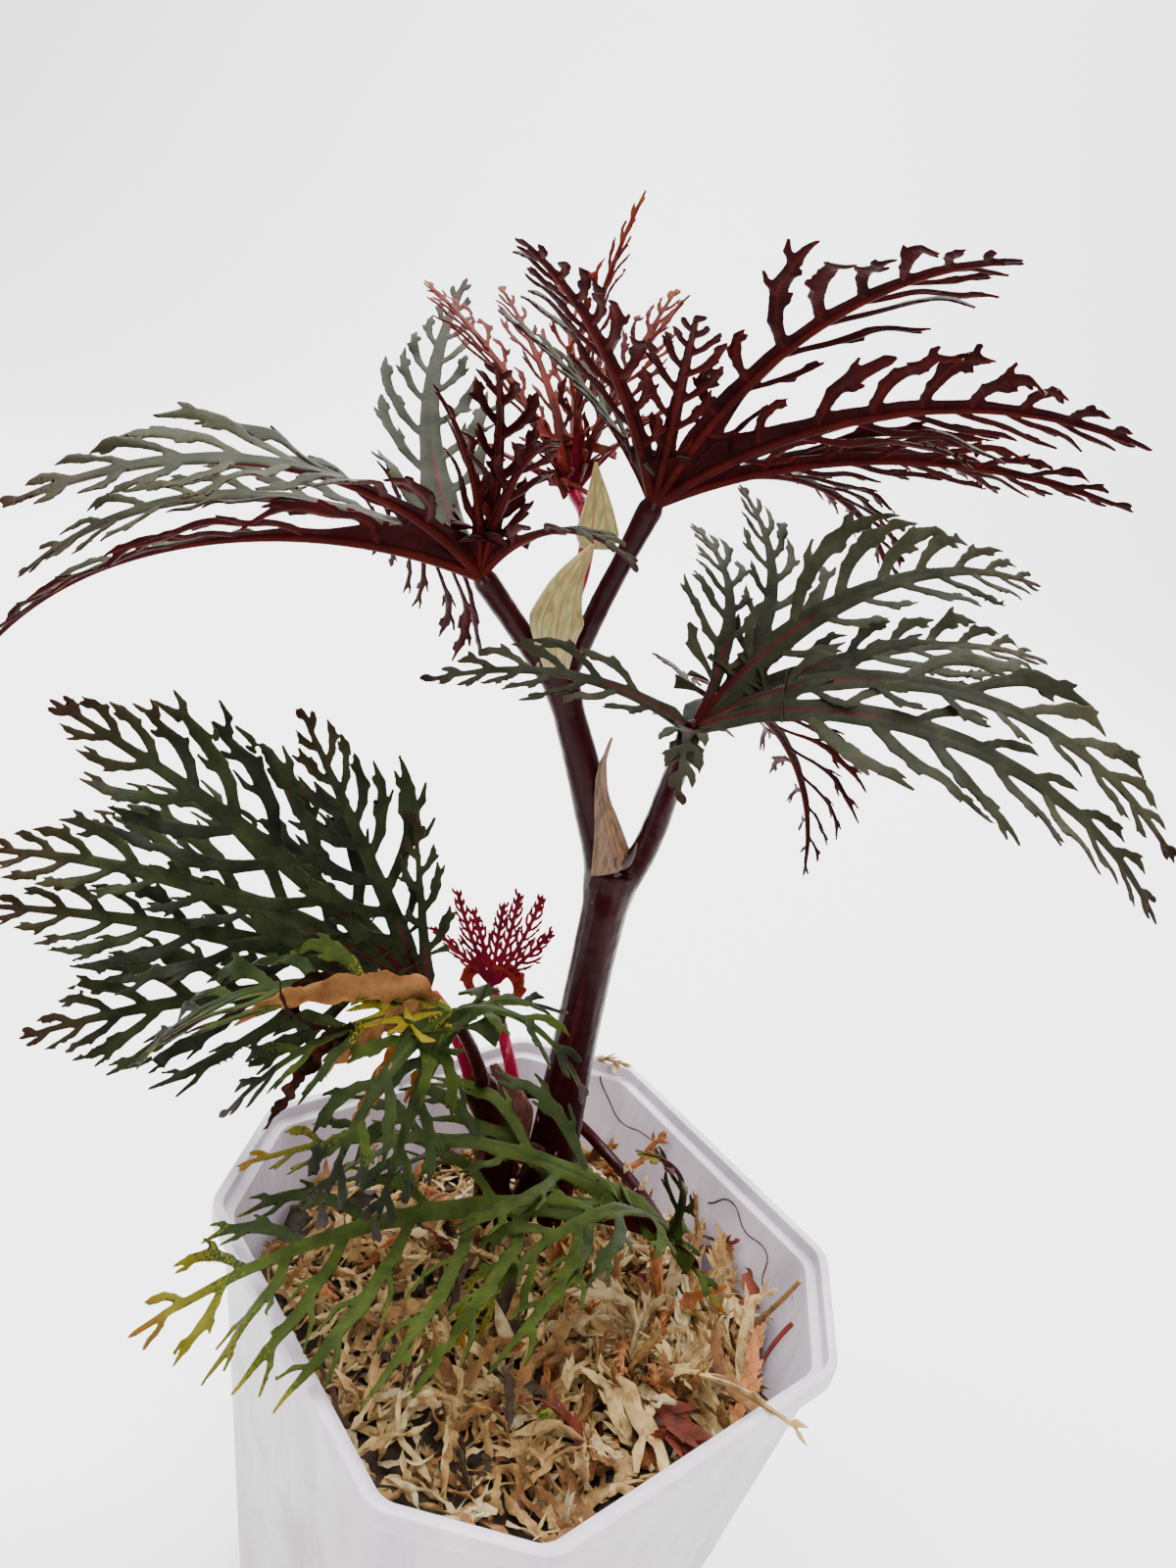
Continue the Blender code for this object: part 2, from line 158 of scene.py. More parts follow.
studio = dict(floor="#EDEDEB", world="#F1F3F4", worldStrength=0.65, floorHalf=1.6, sweep=0.7, wall=1.6)


def makeStage():
    # a pale floor that sweeps up into a backdrop
    deselectAll()
    bpy.ops.mesh.primitive_plane_add(size=2 * studio["floorHalf"], location=(0, 0, -0.0002))
    floor = bpy.context.object
    floor.name = "floor"
    bpy.ops.object.mode_set(mode="EDIT")
    bpy.ops.mesh.select_all(action="DESELECT")
    bpy.ops.object.mode_set(mode="OBJECT")
    for edge in floor.data.edges:
        ends = [floor.data.vertices[i].co for i in edge.vertices]
        edge.select = all(end.y > 0.9 * studio["floorHalf"] for end in ends)
    bpy.ops.object.mode_set(mode="EDIT")
    bpy.ops.mesh.select_mode(type="EDGE")
    bpy.ops.mesh.extrude_region_move(TRANSFORM_OT_translate={"value": (0, 0, studio["wall"])})
    bpy.ops.object.mode_set(mode="OBJECT")
    for edge in floor.data.edges:
        ends = [floor.data.vertices[i].co for i in edge.vertices]
        edge.select = all(end.y > 0.9 * studio["floorHalf"] and end.z < 0.01 for end in ends)
    bend = floor.modifiers.new("bend", "BEVEL")
    bend.width = studio["sweep"]
    bend.segments = 24
    bend.limit_method = "ANGLE"
    applyAll(floor)
    bpy.ops.object.shade_smooth()
    settle(floor)
    paint, tree, shader = startMaterial("matte studio paint")
    shader.inputs["Base Color"].default_value = toLinear(studio["floor"])
    shader.inputs["Roughness"].default_value = 0.85
    floor.data.materials.append(paint)


def addSoftLight(name, place, size, watts, colour, aim=(0, 0.01, 0.1)):
    bpy.ops.object.light_add(type="AREA", location=place)
    lamp = bpy.context.object
    lamp.name = name
    lamp.data.size = size
    lamp.data.energy = watts
    lamp.data.color = toLinear(colour)[:3]
    lamp.rotation_euler = (Vector(aim) - Vector(place)).to_track_quat("-Z", "Y").to_euler()


makeStage()
addSoftLight("overhead", (-0.35, 0.10, 1.15), 0.9, 34.0, "#FFFDF8")
addSoftLight("front fill", (0.45, -0.80, 0.70), 0.6, 9.0, "#FFF8EE")
addSoftLight("backdrop", (0.0, 0.75, 1.6), 1.2, 90.0, "#F7FAFF", aim=(0.0, 1.2, 0.0))
world = bpy.data.worlds.new("soft room")
world.use_nodes = True
world.node_tree.nodes["Background"].inputs["Color"].default_value = toLinear(studio["world"])
world.node_tree.nodes["Background"].inputs["Strength"].default_value = studio["worldStrength"]
bpy.context.scene.world = world
print("stage ready")


# Pot: polypropylene, thermoformed and frosted, thin enough to glow a little

# the darkest wall tone is painted shade, for the moss seen dimly through the wall below its level
pot = dict(height=72.0, half=33.0, cut=0.38, turn=42.5, lip=3.0, step=1.0, wall=1.2, taper=0.096,
           cornerRound=1.6, edgeRound=0.25, skin="#C9C2CB", shade="#B3ABB6", mossShowThroughShade="#8A8189", dirt="#6E5A48",
           speckSize=0.5, streak=7.0)


def frostedPlastic():
    made, tree, shader = startMaterial("frosted polypropylene")
    place = addNode(tree, "TexCoord", {}, {})
    stretch = addNode(tree, "Mapping", {"Scale": (1.0, 1.0, 0.14)}, {"Vector": place.outputs["Object"]})
    cloud = addNode(tree, "TexNoise", {"Scale": 1 / (pot["streak"] * mm), "Detail": 6.0, "Roughness": 0.7},
                    {"Vector": stretch.outputs["Vector"]})
    spread = addNode(tree, "MapRange", {"From Min": 0.36, "From Max": 0.64}, {"Value": cloud.outputs["Fac"]})
    speck = addNode(tree, "TexNoise", {"Scale": 1 / (pot["speckSize"] * mm), "Detail": 2.0},
                    {"Vector": place.outputs["Object"]})
    tint = addNode(tree, "Mix", {"data_type": "RGBA", 6: toLinear(pot["skin"]), 7: toLinear(pot["shade"])},
                   {0: spread.outputs["Result"]})
    # painted shade: darker blotches below the moss level stand for the moss showing dimly through the wall
    apart = addNode(tree, "SeparateXYZ", {}, {"Vector": place.outputs["Object"]})
    below = addNode(tree, "MapRange", {"From Min": 0.062, "From Max": 0.050}, {"Value": apart.outputs["Z"]})
    blots = addNode(tree, "TexNoise", {"Scale": 1 / (11 * mm), "Detail": 5.0, "Roughness": 0.6},
                    {"Vector": place.outputs["Object"]})
    blot = addNode(tree, "MapRange", {"From Min": 0.46, "From Max": 0.66, "To Max": 0.75}, {"Value": blots.outputs["Fac"]})
    mossShowThroughShade = addNode(tree, "Math", {"operation": "MULTIPLY"}, {0: below.outputs["Result"], 1: blot.outputs["Result"]})
    dimmed = addNode(tree, "Mix", {"data_type": "RGBA", 7: toLinear(pot["mossShowThroughShade"])},
                     {0: mossShowThroughShade.outputs["Value"], 6: tint.outputs[2]})
    # crumbs of dirt, some 0.6 mm across and a few to each square centimetre
    grains = addNode(tree, "TexVoronoi", {"Scale": 1 / (5.5 * mm)}, {"Vector": place.outputs["Object"]})
    crumb = addNode(tree, "MapRange", {"From Min": 0.04, "From Max": 0.085, "To Min": 0.8, "To Max": 0.0},
                    {"Value": grains.outputs["Distance"]})
    soiled = addNode(tree, "Mix", {"data_type": "RGBA", 7: toLinear(pot["dirt"])},
                     {0: crumb.outputs["Result"], 6: dimmed.outputs[2]})
    rough = addNode(tree, "MapRange", {"From Min": 0.3, "From Max": 0.7, "To Min": 0.30, "To Max": 0.52},
                    {"Value": cloud.outputs["Fac"]})
    height = addNode(tree, "Math", {"operation": "ADD"}, {0: speck.outputs["Fac"], 1: crumb.outputs["Result"]})
    bump = addNode(tree, "Bump", {"Strength": 0.3, "Distance": 0.00015}, {"Height": height.outputs["Value"]})
    tree.links.new(soiled.outputs[2], shader.inputs["Base Color"])
    tree.links.new(rough.outputs["Result"], shader.inputs["Roughness"])
    tree.links.new(bump.outputs["Normal"], shader.inputs["Normal"])
    shader.inputs["IOR"].default_value = 1.49
    shader.inputs["Subsurface Weight"].default_value = 0.35
    shader.inputs["Subsurface Radius"].default_value = (1.0, 0.95, 0.95)
    shader.inputs["Subsurface Scale"].default_value = 0.003
    return made


def selectWhere(piece, mode, test):
    # picks vertices, edges or faces in code, by the places of their corners
    bpy.ops.object.mode_set(mode="OBJECT")
    mesh = piece.data
    for part in (mesh.vertices, mesh.edges, mesh.polygons):
        part.foreach_set("select", [False] * len(part))
    parts = {"VERT": mesh.vertices, "EDGE": mesh.edges, "FACE": mesh.polygons}[mode]
    for part in parts:
        ends = [part.co] if mode == "VERT" else [mesh.vertices[i].co for i in part.vertices]
        part.select = test(ends)
    bpy.ops.object.mode_set(mode="EDIT")
    bpy.ops.mesh.select_mode(type=mode)


def makePot():
    lipFoot = (pot["height"] - pot["lip"]) * mm
    halfTop = (pot["half"] - pot["step"] - pot["taper"] * pot["lip"]) * mm
    halfLow = (pot["half"] - pot["step"] - pot["taper"] * pot["height"]) * mm
    deselectAll()
    bpy.ops.mesh.primitive_cube_add(size=2 * halfTop, location=(0, 0, lipFoot / 2))
    shell = bpy.context.object
    shell.name = "potShell"
    shell.scale.z = lipFoot / (2 * halfTop)
    settle(shell)

    def upright(ends):
        return abs(ends[0].z - ends[1].z) > 0.5 * lipFoot

    selectWhere(shell, "EDGE", upright)
    bpy.ops.mesh.bevel(offset=pot["cut"] * halfTop / 2 ** 0.5 * 2 ** 0.5, offset_type="OFFSET", segments=1)
    selectWhere(shell, "EDGE", upright)
    bpy.ops.mesh.bevel(offset=pot["cornerRound"] * mm, segments=4)
    selectWhere(shell, "FACE", lambda ends: all(end.z > lipFoot - 1e-5 for end in ends))
    bpy.ops.mesh.delete(type="FACE")
    # the wall draws in towards the foot
    selectWhere(shell, "VERT", lambda ends: ends[0].z < 1e-5)
    shrink = halfLow / halfTop
    bpy.ops.transform.resize(value=(shrink, shrink, 1), center_override=(0, 0, 0))
    # stepped lip: out by the step, then up to the rim
    grow = pot["half"] * mm / halfTop
    selectWhere(shell, "EDGE", lambda ends: all(end.z > lipFoot - 1e-5 for end in ends))
    bpy.ops.mesh.extrude_region_move(TRANSFORM_OT_translate={"value": (0, 0, 0.3 * mm)})
    bpy.ops.transform.resize(value=(grow, grow, 1), center_override=(0, 0, lipFoot))
    bpy.ops.mesh.extrude_region_move(TRANSFORM_OT_translate={"value": (0, 0, (pot["lip"] - 0.3) * mm)})
    bpy.ops.object.mode_set(mode="OBJECT")
    shell.rotation_euler.z = radians(pot["turn"])
    settle(shell)
    wall = shell.modifiers.new("wall", "SOLIDIFY")
    wall.thickness = pot["wall"] * mm
    wall.offset = -1
    wall.use_even_offset = True
    edge = shell.modifiers.new("edge", "BEVEL")
    edge.width = pot["edgeRound"] * mm
    edge.segments = 2
    edge.limit_method = "ANGLE"
    edge.angle_limit = radians(35)
    applyAll(shell)
    bpy.ops.object.shade_smooth_by_angle(angle=radians(32))
    shell.data.materials.append(frostedPlastic())
    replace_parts(shell, "pot")
    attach(shell, "root")
    return shell


makePot()
print("pot moulded")


# Moss: dried sphagnum, each strand shaggy with small scale leaves, bleached to rust

moss = dict(level=57.0, rise=6.0, bump=0.9, levelRound=11.0, foot=(0.0, 17.5), strands=960, seed=41,
            long=(6.0, 14.0), wide=(1.2, 2.3), scales=19, gap=0.5, feathered=(0.20, 0.75),
            tones=("cream", "straw", "pale", "tan", "orange", "rust", "dark"),
            share=(0.28, 0.27, 0.13, 0.16, 0.07, 0.02, 0.07))
mossTones = dict(cream=("#BEA470", "#856438"), straw=("#A48350", "#684824"), pale=("#BFAC84", "#8A7148"),
                 tan=("#875E32", "#4C3017"), orange=("#A86838", "#703C1A"), rust=("#6A2810", "#3E1508"),
                 dark=("#3E2E1D", "#1C130B"), fresh=("#7F9A2A", "#5C741C"), twig=("#8A6A40", "#5C4026"),
                 redTwig=("#6E2416", "#481610"), thread=("#3A2418", "#22140C"))
# what lies loose: tone, width, strand or bare thread, and how it runs from its start
mossBits = [
    ("cream", 2.3, True, dict(start=(18, -9, 64), heading=-40, climb=50, long=20, curl=-45)),
    ("rust", 4.2, True, dict(start=(16.5, -13.5, 63), heading=-30, climb=15, long=7, curl=-15)),
    ("pale", 2.0, True, dict(start=(4, 35.5, 72.5), heading=5, climb=25, long=5, curl=-50)),
    ("twig", 0.9, False, dict(start=(28.5, 1, 61), heading=-15, climb=62, long=13, sweep=20, curl=10)),
    ("redTwig", 0.7, False, dict(start=(33, -3.5, 70), heading=200, climb=-58, long=10, sweep=60)),
    ("fresh", 0.35, False, dict(start=(7.5, -15, 59), heading=255, climb=70, long=5.5, curl=-10)),
    ("fresh", 0.9, True, dict(start=(7, -17, 63.5), heading=210, climb=35, long=2.5, curl=-40)),
    ("thread", 0.30, False, dict(start=(24, 18, 66), heading=-42, climb=30, long=20, curl=-95, wander=40, steps=25)),
    ("thread", 0.28, False, dict(start=(6, 34, 71), heading=-30, climb=-75, long=17, curl=130, wander=15, steps=21)),
]


def mossTop(x, y):
    forward = np.clip(0.5 - 0.5 * y / pot["half"], 0, 1)
    bumps = np.sin(x * 0.410 + 1.0) + np.cos(y * 0.360 + x * 0.130)
    away = np.hypot(x - moss["foot"][0], y - moss["foot"][1])
    share = np.clip(away / moss["levelRound"] - 1, 0, 1)
    return moss["level"] + share * (moss["rise"] * forward + moss["bump"] * bumps)


def insideWall(x, y, z):
    # how far a place is inside the pot's inner wall
    half = pot["half"] - pot["step"] - pot["taper"] * (pot["height"] - z) - pot["wall"]
    turned = radians(pot["turn"])
    u = np.abs(x * cos(turned) + y * sin(turned))
    v = np.abs(y * cos(turned) - x * sin(turned))
    return np.minimum(half - np.maximum(u, v), (half * (2 - pot["cut"]) - u - v) / 2 ** 0.5)


def mossFibre(name, tone):
    made, tree, shader = startMaterial(name)
    place = addNode(tree, "TexCoord", {}, {})
    fine = addNode(tree, "TexNoise", {"Scale": 1 / (1.6 * mm), "Detail": 6.0, "Roughness": 0.65},
                   {"Vector": place.outputs["Object"]})
    spread = addNode(tree, "MapRange", {"From Min": 0.35, "From Max": 0.68}, {"Value": fine.outputs["Fac"]})
    tint = addNode(tree, "Mix", {"data_type": "RGBA", 6: toLinear(tone[0]), 7: toLinear(tone[1])},
                   {0: spread.outputs["Result"]})
    grain = addNode(tree, "TexNoise", {"Scale": 1 / (0.25 * mm), "Detail": 3.0}, {"Vector": place.outputs["Object"]})
    bump = addNode(tree, "Bump", {"Strength": 0.6, "Distance": 0.0002}, {"Height": grain.outputs["Fac"]})
    tree.links.new(tint.outputs[2], shader.inputs["Base Color"])
    tree.links.new(bump.outputs["Normal"], shader.inputs["Normal"])
    shader.inputs["Roughness"].default_value = 0.72
    shader.inputs["Specular IOR Level"].default_value = 0.35
    shader.inputs["Subsurface Weight"].default_value = 0.30
    shader.inputs["Subsurface Radius"].default_value = (1.0, 0.6, 0.35)
    shader.inputs["Subsurface Scale"].default_value = 0.0010
    return made


def makeMound():
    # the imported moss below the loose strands
    low = 2.0
    halfTop = pot["half"] - pot["step"] - pot["taper"] * (pot["height"] - moss["level"]) - pot["wall"] - moss["gap"]
    halfLow = pot["half"] - pot["step"] - pot["taper"] * (pot["height"] - low) - pot["wall"] - moss["gap"]
    deselectAll()
    bpy.ops.mesh.primitive_cube_add(size=1, location=(0, 0, (moss["level"] + low) / 2 * mm))
    mound = bpy.context.object
    mound.name = "mossMound"
    mound.scale = (2 * halfTop * mm, 2 * halfTop * mm, (moss["level"] - low) * mm)
    settle(mound)
    selectWhere(mound, "EDGE", lambda ends: abs(ends[0].z - ends[1].z) > 0.01)
    bpy.ops.mesh.bevel(offset=pot["cut"] * halfTop * mm, offset_type="OFFSET", segments=1)
    selectWhere(mound, "VERT", lambda ends: ends[0].z < (low + 1) * mm)
    bpy.ops.transform.resize(value=(halfLow / halfTop, halfLow / halfTop, 1), center_override=(0, 0, 0))
    bpy.ops.object.mode_set(mode="OBJECT")
    mound.rotation_euler.z = radians(pot["turn"])
    settle(mound)
    grain = mound.modifiers.new("grain", "REMESH")
    grain.mode = "VOXEL"
    grain.voxel_size = 1.1 * mm
    applyAll(mound)
    luck = np.random.RandomState(moss["seed"])
    for vertex in mound.data.vertices:
        x, y, z = vertex.co / mm
        high = max(0.0, (z - moss["level"] + 12) / 12)
        vertex.co.z += (high * (mossTop(x, y) - moss["level"]) - high * (1.4 + luck.uniform(0, 1.8))) * mm
    mound.data.materials.append(mossFibre("packed sphagnum", ("#3A2A19", "#140D07")))
    bpy.ops.object.shade_smooth()
    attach(mound, "root")
    return mound


def strandPath(start, azimuth, pitch, long, luck, rings=7):
    # a limp, crumpled run from a start point, kept on the mound
    turn = azimuth + np.cumsum(luck.normal(0, 0.36, rings))
    tilt = pitch + np.cumsum(luck.normal(0, 0.28, rings))
    ahead = np.stack([np.cos(tilt) * np.cos(turn), np.cos(tilt) * np.sin(turn), np.sin(tilt)], 1)
    path = start + np.vstack([np.zeros(3), np.cumsum(ahead[:-1] * long / (rings - 1), 0)])
    path[:, 2] = np.maximum(path[:, 2], mossTop(path[:, 0], path[:, 1]) - 1.0)
    return path


def addStrand(out, path, wide, tone, luck, feathered=True, round=False):
    # a soft flattened stem, with pointed scale leaves that overlap towards its tip, or a crumpled ribbon
    if not round and not feathered:
        path = smoothPath(path, 2 * len(path))
    rings, sides = len(path), 6
    ahead = np.gradient(path, axis=0)
    ahead /= np.maximum(np.linalg.norm(ahead, axis=1), 1e-6)[:, None]
    level = np.cross(ahead, (0.05, 0.03, -1.0))
    level /= np.maximum(np.linalg.norm(level, axis=1), 1e-6)[:, None]
    over = np.cross(level, ahead)
    roll = luck.uniform(-0.8, 0.8) + np.cumsum(luck.normal(0, 0.35, rings))
    side = level * np.cos(roll)[:, None] + over * np.sin(roll)[:, None]
    flat = over * np.cos(roll)[:, None] - level * np.sin(roll)[:, None]
    share = np.linspace(0, 1, rings)
    shape = 1 - 0.3 * share if round else np.interp(share, (0, 0.15, 0.4, 0.75, 1), (0.35, 0.75, 0.9, 0.7, 0.12))
    ragged = (0.95, 1.05) if round else (0.75, 1.15) if feathered else (0.55, 1.25)
    body = wide / 2 * shape * luck.uniform(*ragged, rings)
    turns = np.linspace(0, 2 * pi, sides, endpoint=False)
    thin = 1.0 if round else 0.34 if feathered else 0.24
    ring = path[:, None] + body[:, None, None] * (side[:, None] * np.cos(turns)[None, :, None]
                                                 + thin * flat[:, None] * np.sin(turns)[None, :, None])
    points = list(ring.reshape(-1, 3))
    faces = []
    for k in range(rings - 1):
        for i in range(sides):
            j = (i + 1) % sides
            a, b, c, d = k * sides + i, k * sides + j, (k + 1) * sides + j, (k + 1) * sides + i
            faces += [(a, b, c), (a, c, d)]
    for k in range(1, sides - 1):
        faces += [(0, k + 1, k), ((rings - 1) * sides, (rings - 1) * sides + k, (rings - 1) * sides + k + 1)]
    for n in range(moss["scales"] if feathered else 0):
        at = 0.2 + (n + luck.uniform(0, 1)) / moss["scales"] * (rings - 1.35)
        k = min(int(at), rings - 2)
        part = at - k
        angle = luck.choice((0, pi)) + luck.normal(0, 0.75)
        away = side[k] * cos(angle) + 0.5 * flat[k] * sin(angle)
        base = path[k] * (1 - part) + path[k + 1] * part + away * body[k] * 0.45
        along = ahead[k] * luck.uniform(0.8, 1.1) + away * luck.uniform(0.25, 0.70) + flat[k] * luck.normal(0, 0.12)
        along *= wide * luck.uniform(0.65, 1.15) / np.linalg.norm(along)
        across = np.cross(along, flat[k] + 0.3 * away)
        across *= wide * 0.20 / max(np.linalg.norm(across), 1e-6)
        lift = np.cross(across, along)
        lift *= 0.09 * wide / max(np.linalg.norm(lift), 1e-6)
        first = len(points)
        points += [base, base + along * 0.42 + across, base + along * 1.15 + lift * luck.uniform(-1, 2),
                   base + along * 0.42 - across, base + along * 0.45 + lift, base + along * 0.35 - lift * 0.5]
        faces += [(first, first + 1, first + 4), (first + 1, first + 2, first + 4), (first + 2, first + 3, first + 4),
                  (first + 3, first, first + 4), (first, first + 5, first + 1), (first + 1, first + 5, first + 2),
                  (first + 2, first + 5, first + 3), (first + 3, first + 5, first)]
    points = np.array(points)
    # nothing reaches into the wall below the rim
    for _ in range(3):
        room = insideWall(points[:, 0], points[:, 1], np.minimum(points[:, 2], 71.0)) - 0.25
        pull = np.where((room < 0) & (points[:, 2] < 72.0), room, 0)
        radius = np.hypot(points[:, 0], points[:, 1])
        points[:, :2] *= (1 + 1.15 * pull / np.maximum(radius, 1))[:, None]
    count = sum(len(p) for p in out["points"])
    out["points"].append(points)
    out["faces"].append(np.array(faces) + count)
    out["tones"].append(np.full(len(faces), tone))


def makeStrands():
    luck = np.random.RandomState(moss["seed"])
    out = dict(points=[], faces=[], tones=[])
    made = 0
    while made < moss["strands"]:
        x, y = luck.uniform(-31, 31, 2)
        if insideWall(x, y, 60.0) < 0.4 or np.hypot(x - moss["foot"][0], y - moss["foot"][1]) < 5.5:
            continue
        # the largest, palest strands lie to the right, the finest in front
        big = np.clip(0.5 + x / 40 - np.clip(-y / 60, 0, 1), 0, 1)
        long = luck.uniform(*moss["long"]) * (0.75 + 0.45 * big)
        wide = luck.uniform(*moss["wide"]) * (0.75 + 0.65 * big)
        azimuth = luck.uniform(0, 2 * pi)
        inward = np.array([cos(azimuth), sin(azimuth)]) @ np.array([x, y])
        if inward > 0 and np.hypot(x, y) > 18:
            azimuth += pi
        height = mossTop(x, y) - 0.8 + luck.uniform(-1.2, 1.5)
        share = np.array(moss["share"]) * (1, 1, 0.5 + big, 1, 0.4 + 1.8 * big, 0.4 + 2 * big, 1.2 - big)
        tone = luck.choice(len(moss["tones"]), p=share / share.sum())
        path = strandPath(np.array([x, y, height]), azimuth, luck.uniform(-0.15, 0.45), long, luck)
        lowShare, highShare = moss["feathered"]
        addStrand(out, path, wide, tone, luck, luck.uniform(0, 1) < lowShare + (highShare - lowShare) * big)
        made += 1
    names = list(mossTones)
    for toneName, wide, feathered, run in mossBits:
        addStrand(out, curlRun(**run), wide, names.index(toneName), luck, feathered, round=not feathered)
    tones = [mossFibre("sphagnum " + name, mossTones[name]) for name in names]
    strands = meshFromArrays("mossStrands", np.concatenate(out["points"]), np.concatenate(out["faces"]),
                             np.concatenate(out["tones"]), tones, sharpOver=80)
    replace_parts(strands, "moss")
    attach(strands, "root")
    print("moss strands", len(strands.data.polygons), "triangles")


makeMound()
makeStrands()
print("moss laid")


# Stems: fleshy, with a waxy maroon skin, fine streaks and pale breathing spots

stems = dict(voxel=0.27, ridge=0.10, ridgeSize=1.6, skin="#190407", skinTwo="#2A070C", bloom="#42191F", roughness=0.27)
# x, y, z and diameter at each point
stemPaths = {
    "main_stem": [(1.2, 18, 56.8, 9.6), (1.0, 18.6, 64.2, 7.8), (0.8, 19, 71, 6.9), (0.4, 19.5, 81.0, 6.3),
                  (0.1, 19.8, 91.8, 5.9), (-0.1, 19.9, 100, 5.8), (-0.2, 20, 107, 6.0), (-0.3, 20, 111.0, 7.2),
                  (-0.4, 20, 113.2, 7.0)],
    "upper_stem": [(-1.2, 20, 110.0, 4.6), (-2.4, 20, 114.5, 4.5), (-4.6, 20, 120, 4.6), (-7.2, 20, 126, 4.4),
                   (-10.0, 20.1, 131.8, 4.0), (-12.2, 20.2, 136.6, 4.9), (-12.7, 20.2, 138.2, 3.6)],
    "lower_shoot": [(-5.2, 16.2, 56.8, 6.2), (-6.4, 15.2, 63, 5.2), (-6.8, 14.9, 70, 4.8),
                    (-8.6, 14.4, 75.5, 4.5), (-10.9, 13.8, 80.2, 4.9), (-11.4, 13.6, 81.4, 3.4)],
    "stalk_right": [(0.8, 20, 109.8, 4.2), (2.2, 19.6, 114, 3.6), (3.3, 18.0, 120.5, 3.2), (3.6, 16.6, 125.5, 2.9),
                    (3.9, 14.2, 131, 2.7), (4.0, 12.3, 135.0, 2.9), (4.1, 11.2, 137.0, 1.2)],
    "stalk_upper_left": [(-12.6, 20.1, 135.2, 3.0), (-15.4, 19.1, 138.4, 2.9), (-18.7, 17.6, 142.2, 2.8),
                         (-22.0, 15.5, 146.2, 3.0), (-23.4, 14.8, 147.9, 1.2)],
    "stalk_upper_right": [(-11.8, 20.4, 135.0, 3.2), (-10.4, 20.6, 139.5, 2.6), (-9.3, 20.2, 144.6, 2.6),
                          (-7.6, 20.0, 151, 2.5), (-5.9, 20, 157.2, 3.0), (-5.3, 19.9, 159.2, 1.2)],
    "stalk_drying": [(-10.8, 13.4, 79.2, 2.2), (-10.6, 11.8, 82.5, 1.9), (-12.2, 9.2, 88.5, 1.8),
                     (-14.1, 5.6, 94.5, 1.7), (-15.0, 2.6, 98.6, 1.7)],
    "stalk_lowest": [(-3.4, 20.2, 60.6, 2.2), (-6.2, 23.8, 65.6, 1.9), (-5.6, 26.9, 69.2, 1.8),
                     (-1.6, 28.4, 69.6, 1.8), (3.8, 27.8, 66.6, 1.8), (9.4, 24.5, 64.6, 1.8),
                     (13.6, 18.2, 65.6, 1.8), (15.9, 11.0, 68.2, 1.8), (17.1, 4.6, 71.2, 1.9)],
}
petiolePaths = {
    "stalk_young": [(-12.6, 21.2, 135.6, 2.4), (-13.0, 23.1, 141, 2.1), (-12.1, 23.6, 148.6, 2.0),
                    (-13.2, 27.5, 153.6, 1.9), (-15.3, 31.6, 155.4, 1.9)],
    "stalk_lower_left": [(-11.2, 14.2, 78.8, 2.6), (-13.1, 14.6, 83.0, 2.4), (-15.8, 14.2, 88.2, 2.4),
                         (-19.6, 14.0, 92.4, 2.3)],
    "stalk_newest": [(-2.6, 19.8, 64.4, 2.4), (-5.4, 21.0, 72.6, 2.0), (-7.6, 21.8, 78.5, 1.9),
                     (-10.0, 22.7, 83.8, 1.8), (-12.3, 23.9, 88.9, 1.7)],
}


def maroonSkin(name, main, second, bloom, roughness):
    made, tree, shader = startMaterial(name)
    place = addNode(tree, "TexCoord", {}, {})
    # streaks run along the stem, about 0.7 mm apart and some 10 mm long
    stretch = addNode(tree, "Mapping", {"Scale": (1.0, 1.0, 0.08)}, {"Vector": place.outputs["Object"]})
    streak = addNode(tree, "TexNoise", {"Scale": 1 / (1.3 * mm), "Detail": 4.0, "Roughness": 0.55},
                     {"Vector": stretch.outputs["Vector"]})
    patch = addNode(tree, "TexNoise", {"Scale": 1 / (7 * mm), "Detail": 3.0}, {"Vector": place.outputs["Object"]})
    tint = addNode(tree, "Mix", {"data_type": "RGBA", 6: toLinear(main), 7: toLinear(second)},
                   {0: patch.outputs["Fac"]})
    veil = addNode(tree, "MapRange", {"From Min": 0.56, "From Max": 0.74, "To Max": 0.45},
                   {"Value": streak.outputs["Fac"]})
    veiled = addNode(tree, "Mix", {"data_type": "RGBA", 7: toLinear(bloom)},
                     {0: veil.outputs["Result"], 6: tint.outputs[2]})
    # breathing spots, pale and longer than wide
    longer = addNode(tree, "Mapping", {"Scale": (1.0, 1.0, 0.45)}, {"Vector": place.outputs["Object"]})
    spots = addNode(tree, "TexVoronoi", {"Scale": 1 / (2.6 * mm)}, {"Vector": longer.outputs["Vector"]})
    spot = addNode(tree, "MapRange", {"From Min": 0.05, "From Max": 0.11, "To Min": 0.55, "To Max": 0.0},
                   {"Value": spots.outputs["Distance"]})
    spotted = addNode(tree, "Mix", {"data_type": "RGBA", 7: toLinear("#B58A86")},
                      {0: spot.outputs["Result"], 6: veiled.outputs[2]})
    height = addNode(tree, "Math", {"operation": "ADD"}, {0: streak.outputs["Fac"], 1: spot.outputs["Result"]})
    bump = addNode(tree, "Bump", {"Strength": 0.35, "Distance": 0.00015}, {"Height": height.outputs["Value"]})
    tree.links.new(spotted.outputs[2], shader.inputs["Base Color"])
    tree.links.new(bump.outputs["Normal"], shader.inputs["Normal"])
    shader.inputs["Roughness"].default_value = roughness
    shader.inputs["Specular IOR Level"].default_value = 0.09
    shader.inputs["Subsurface Weight"].default_value = 0.05
    shader.inputs["Subsurface Radius"].default_value = (1.0, 0.2, 0.2)
    shader.inputs["Subsurface Scale"].default_value = 0.001
    return made


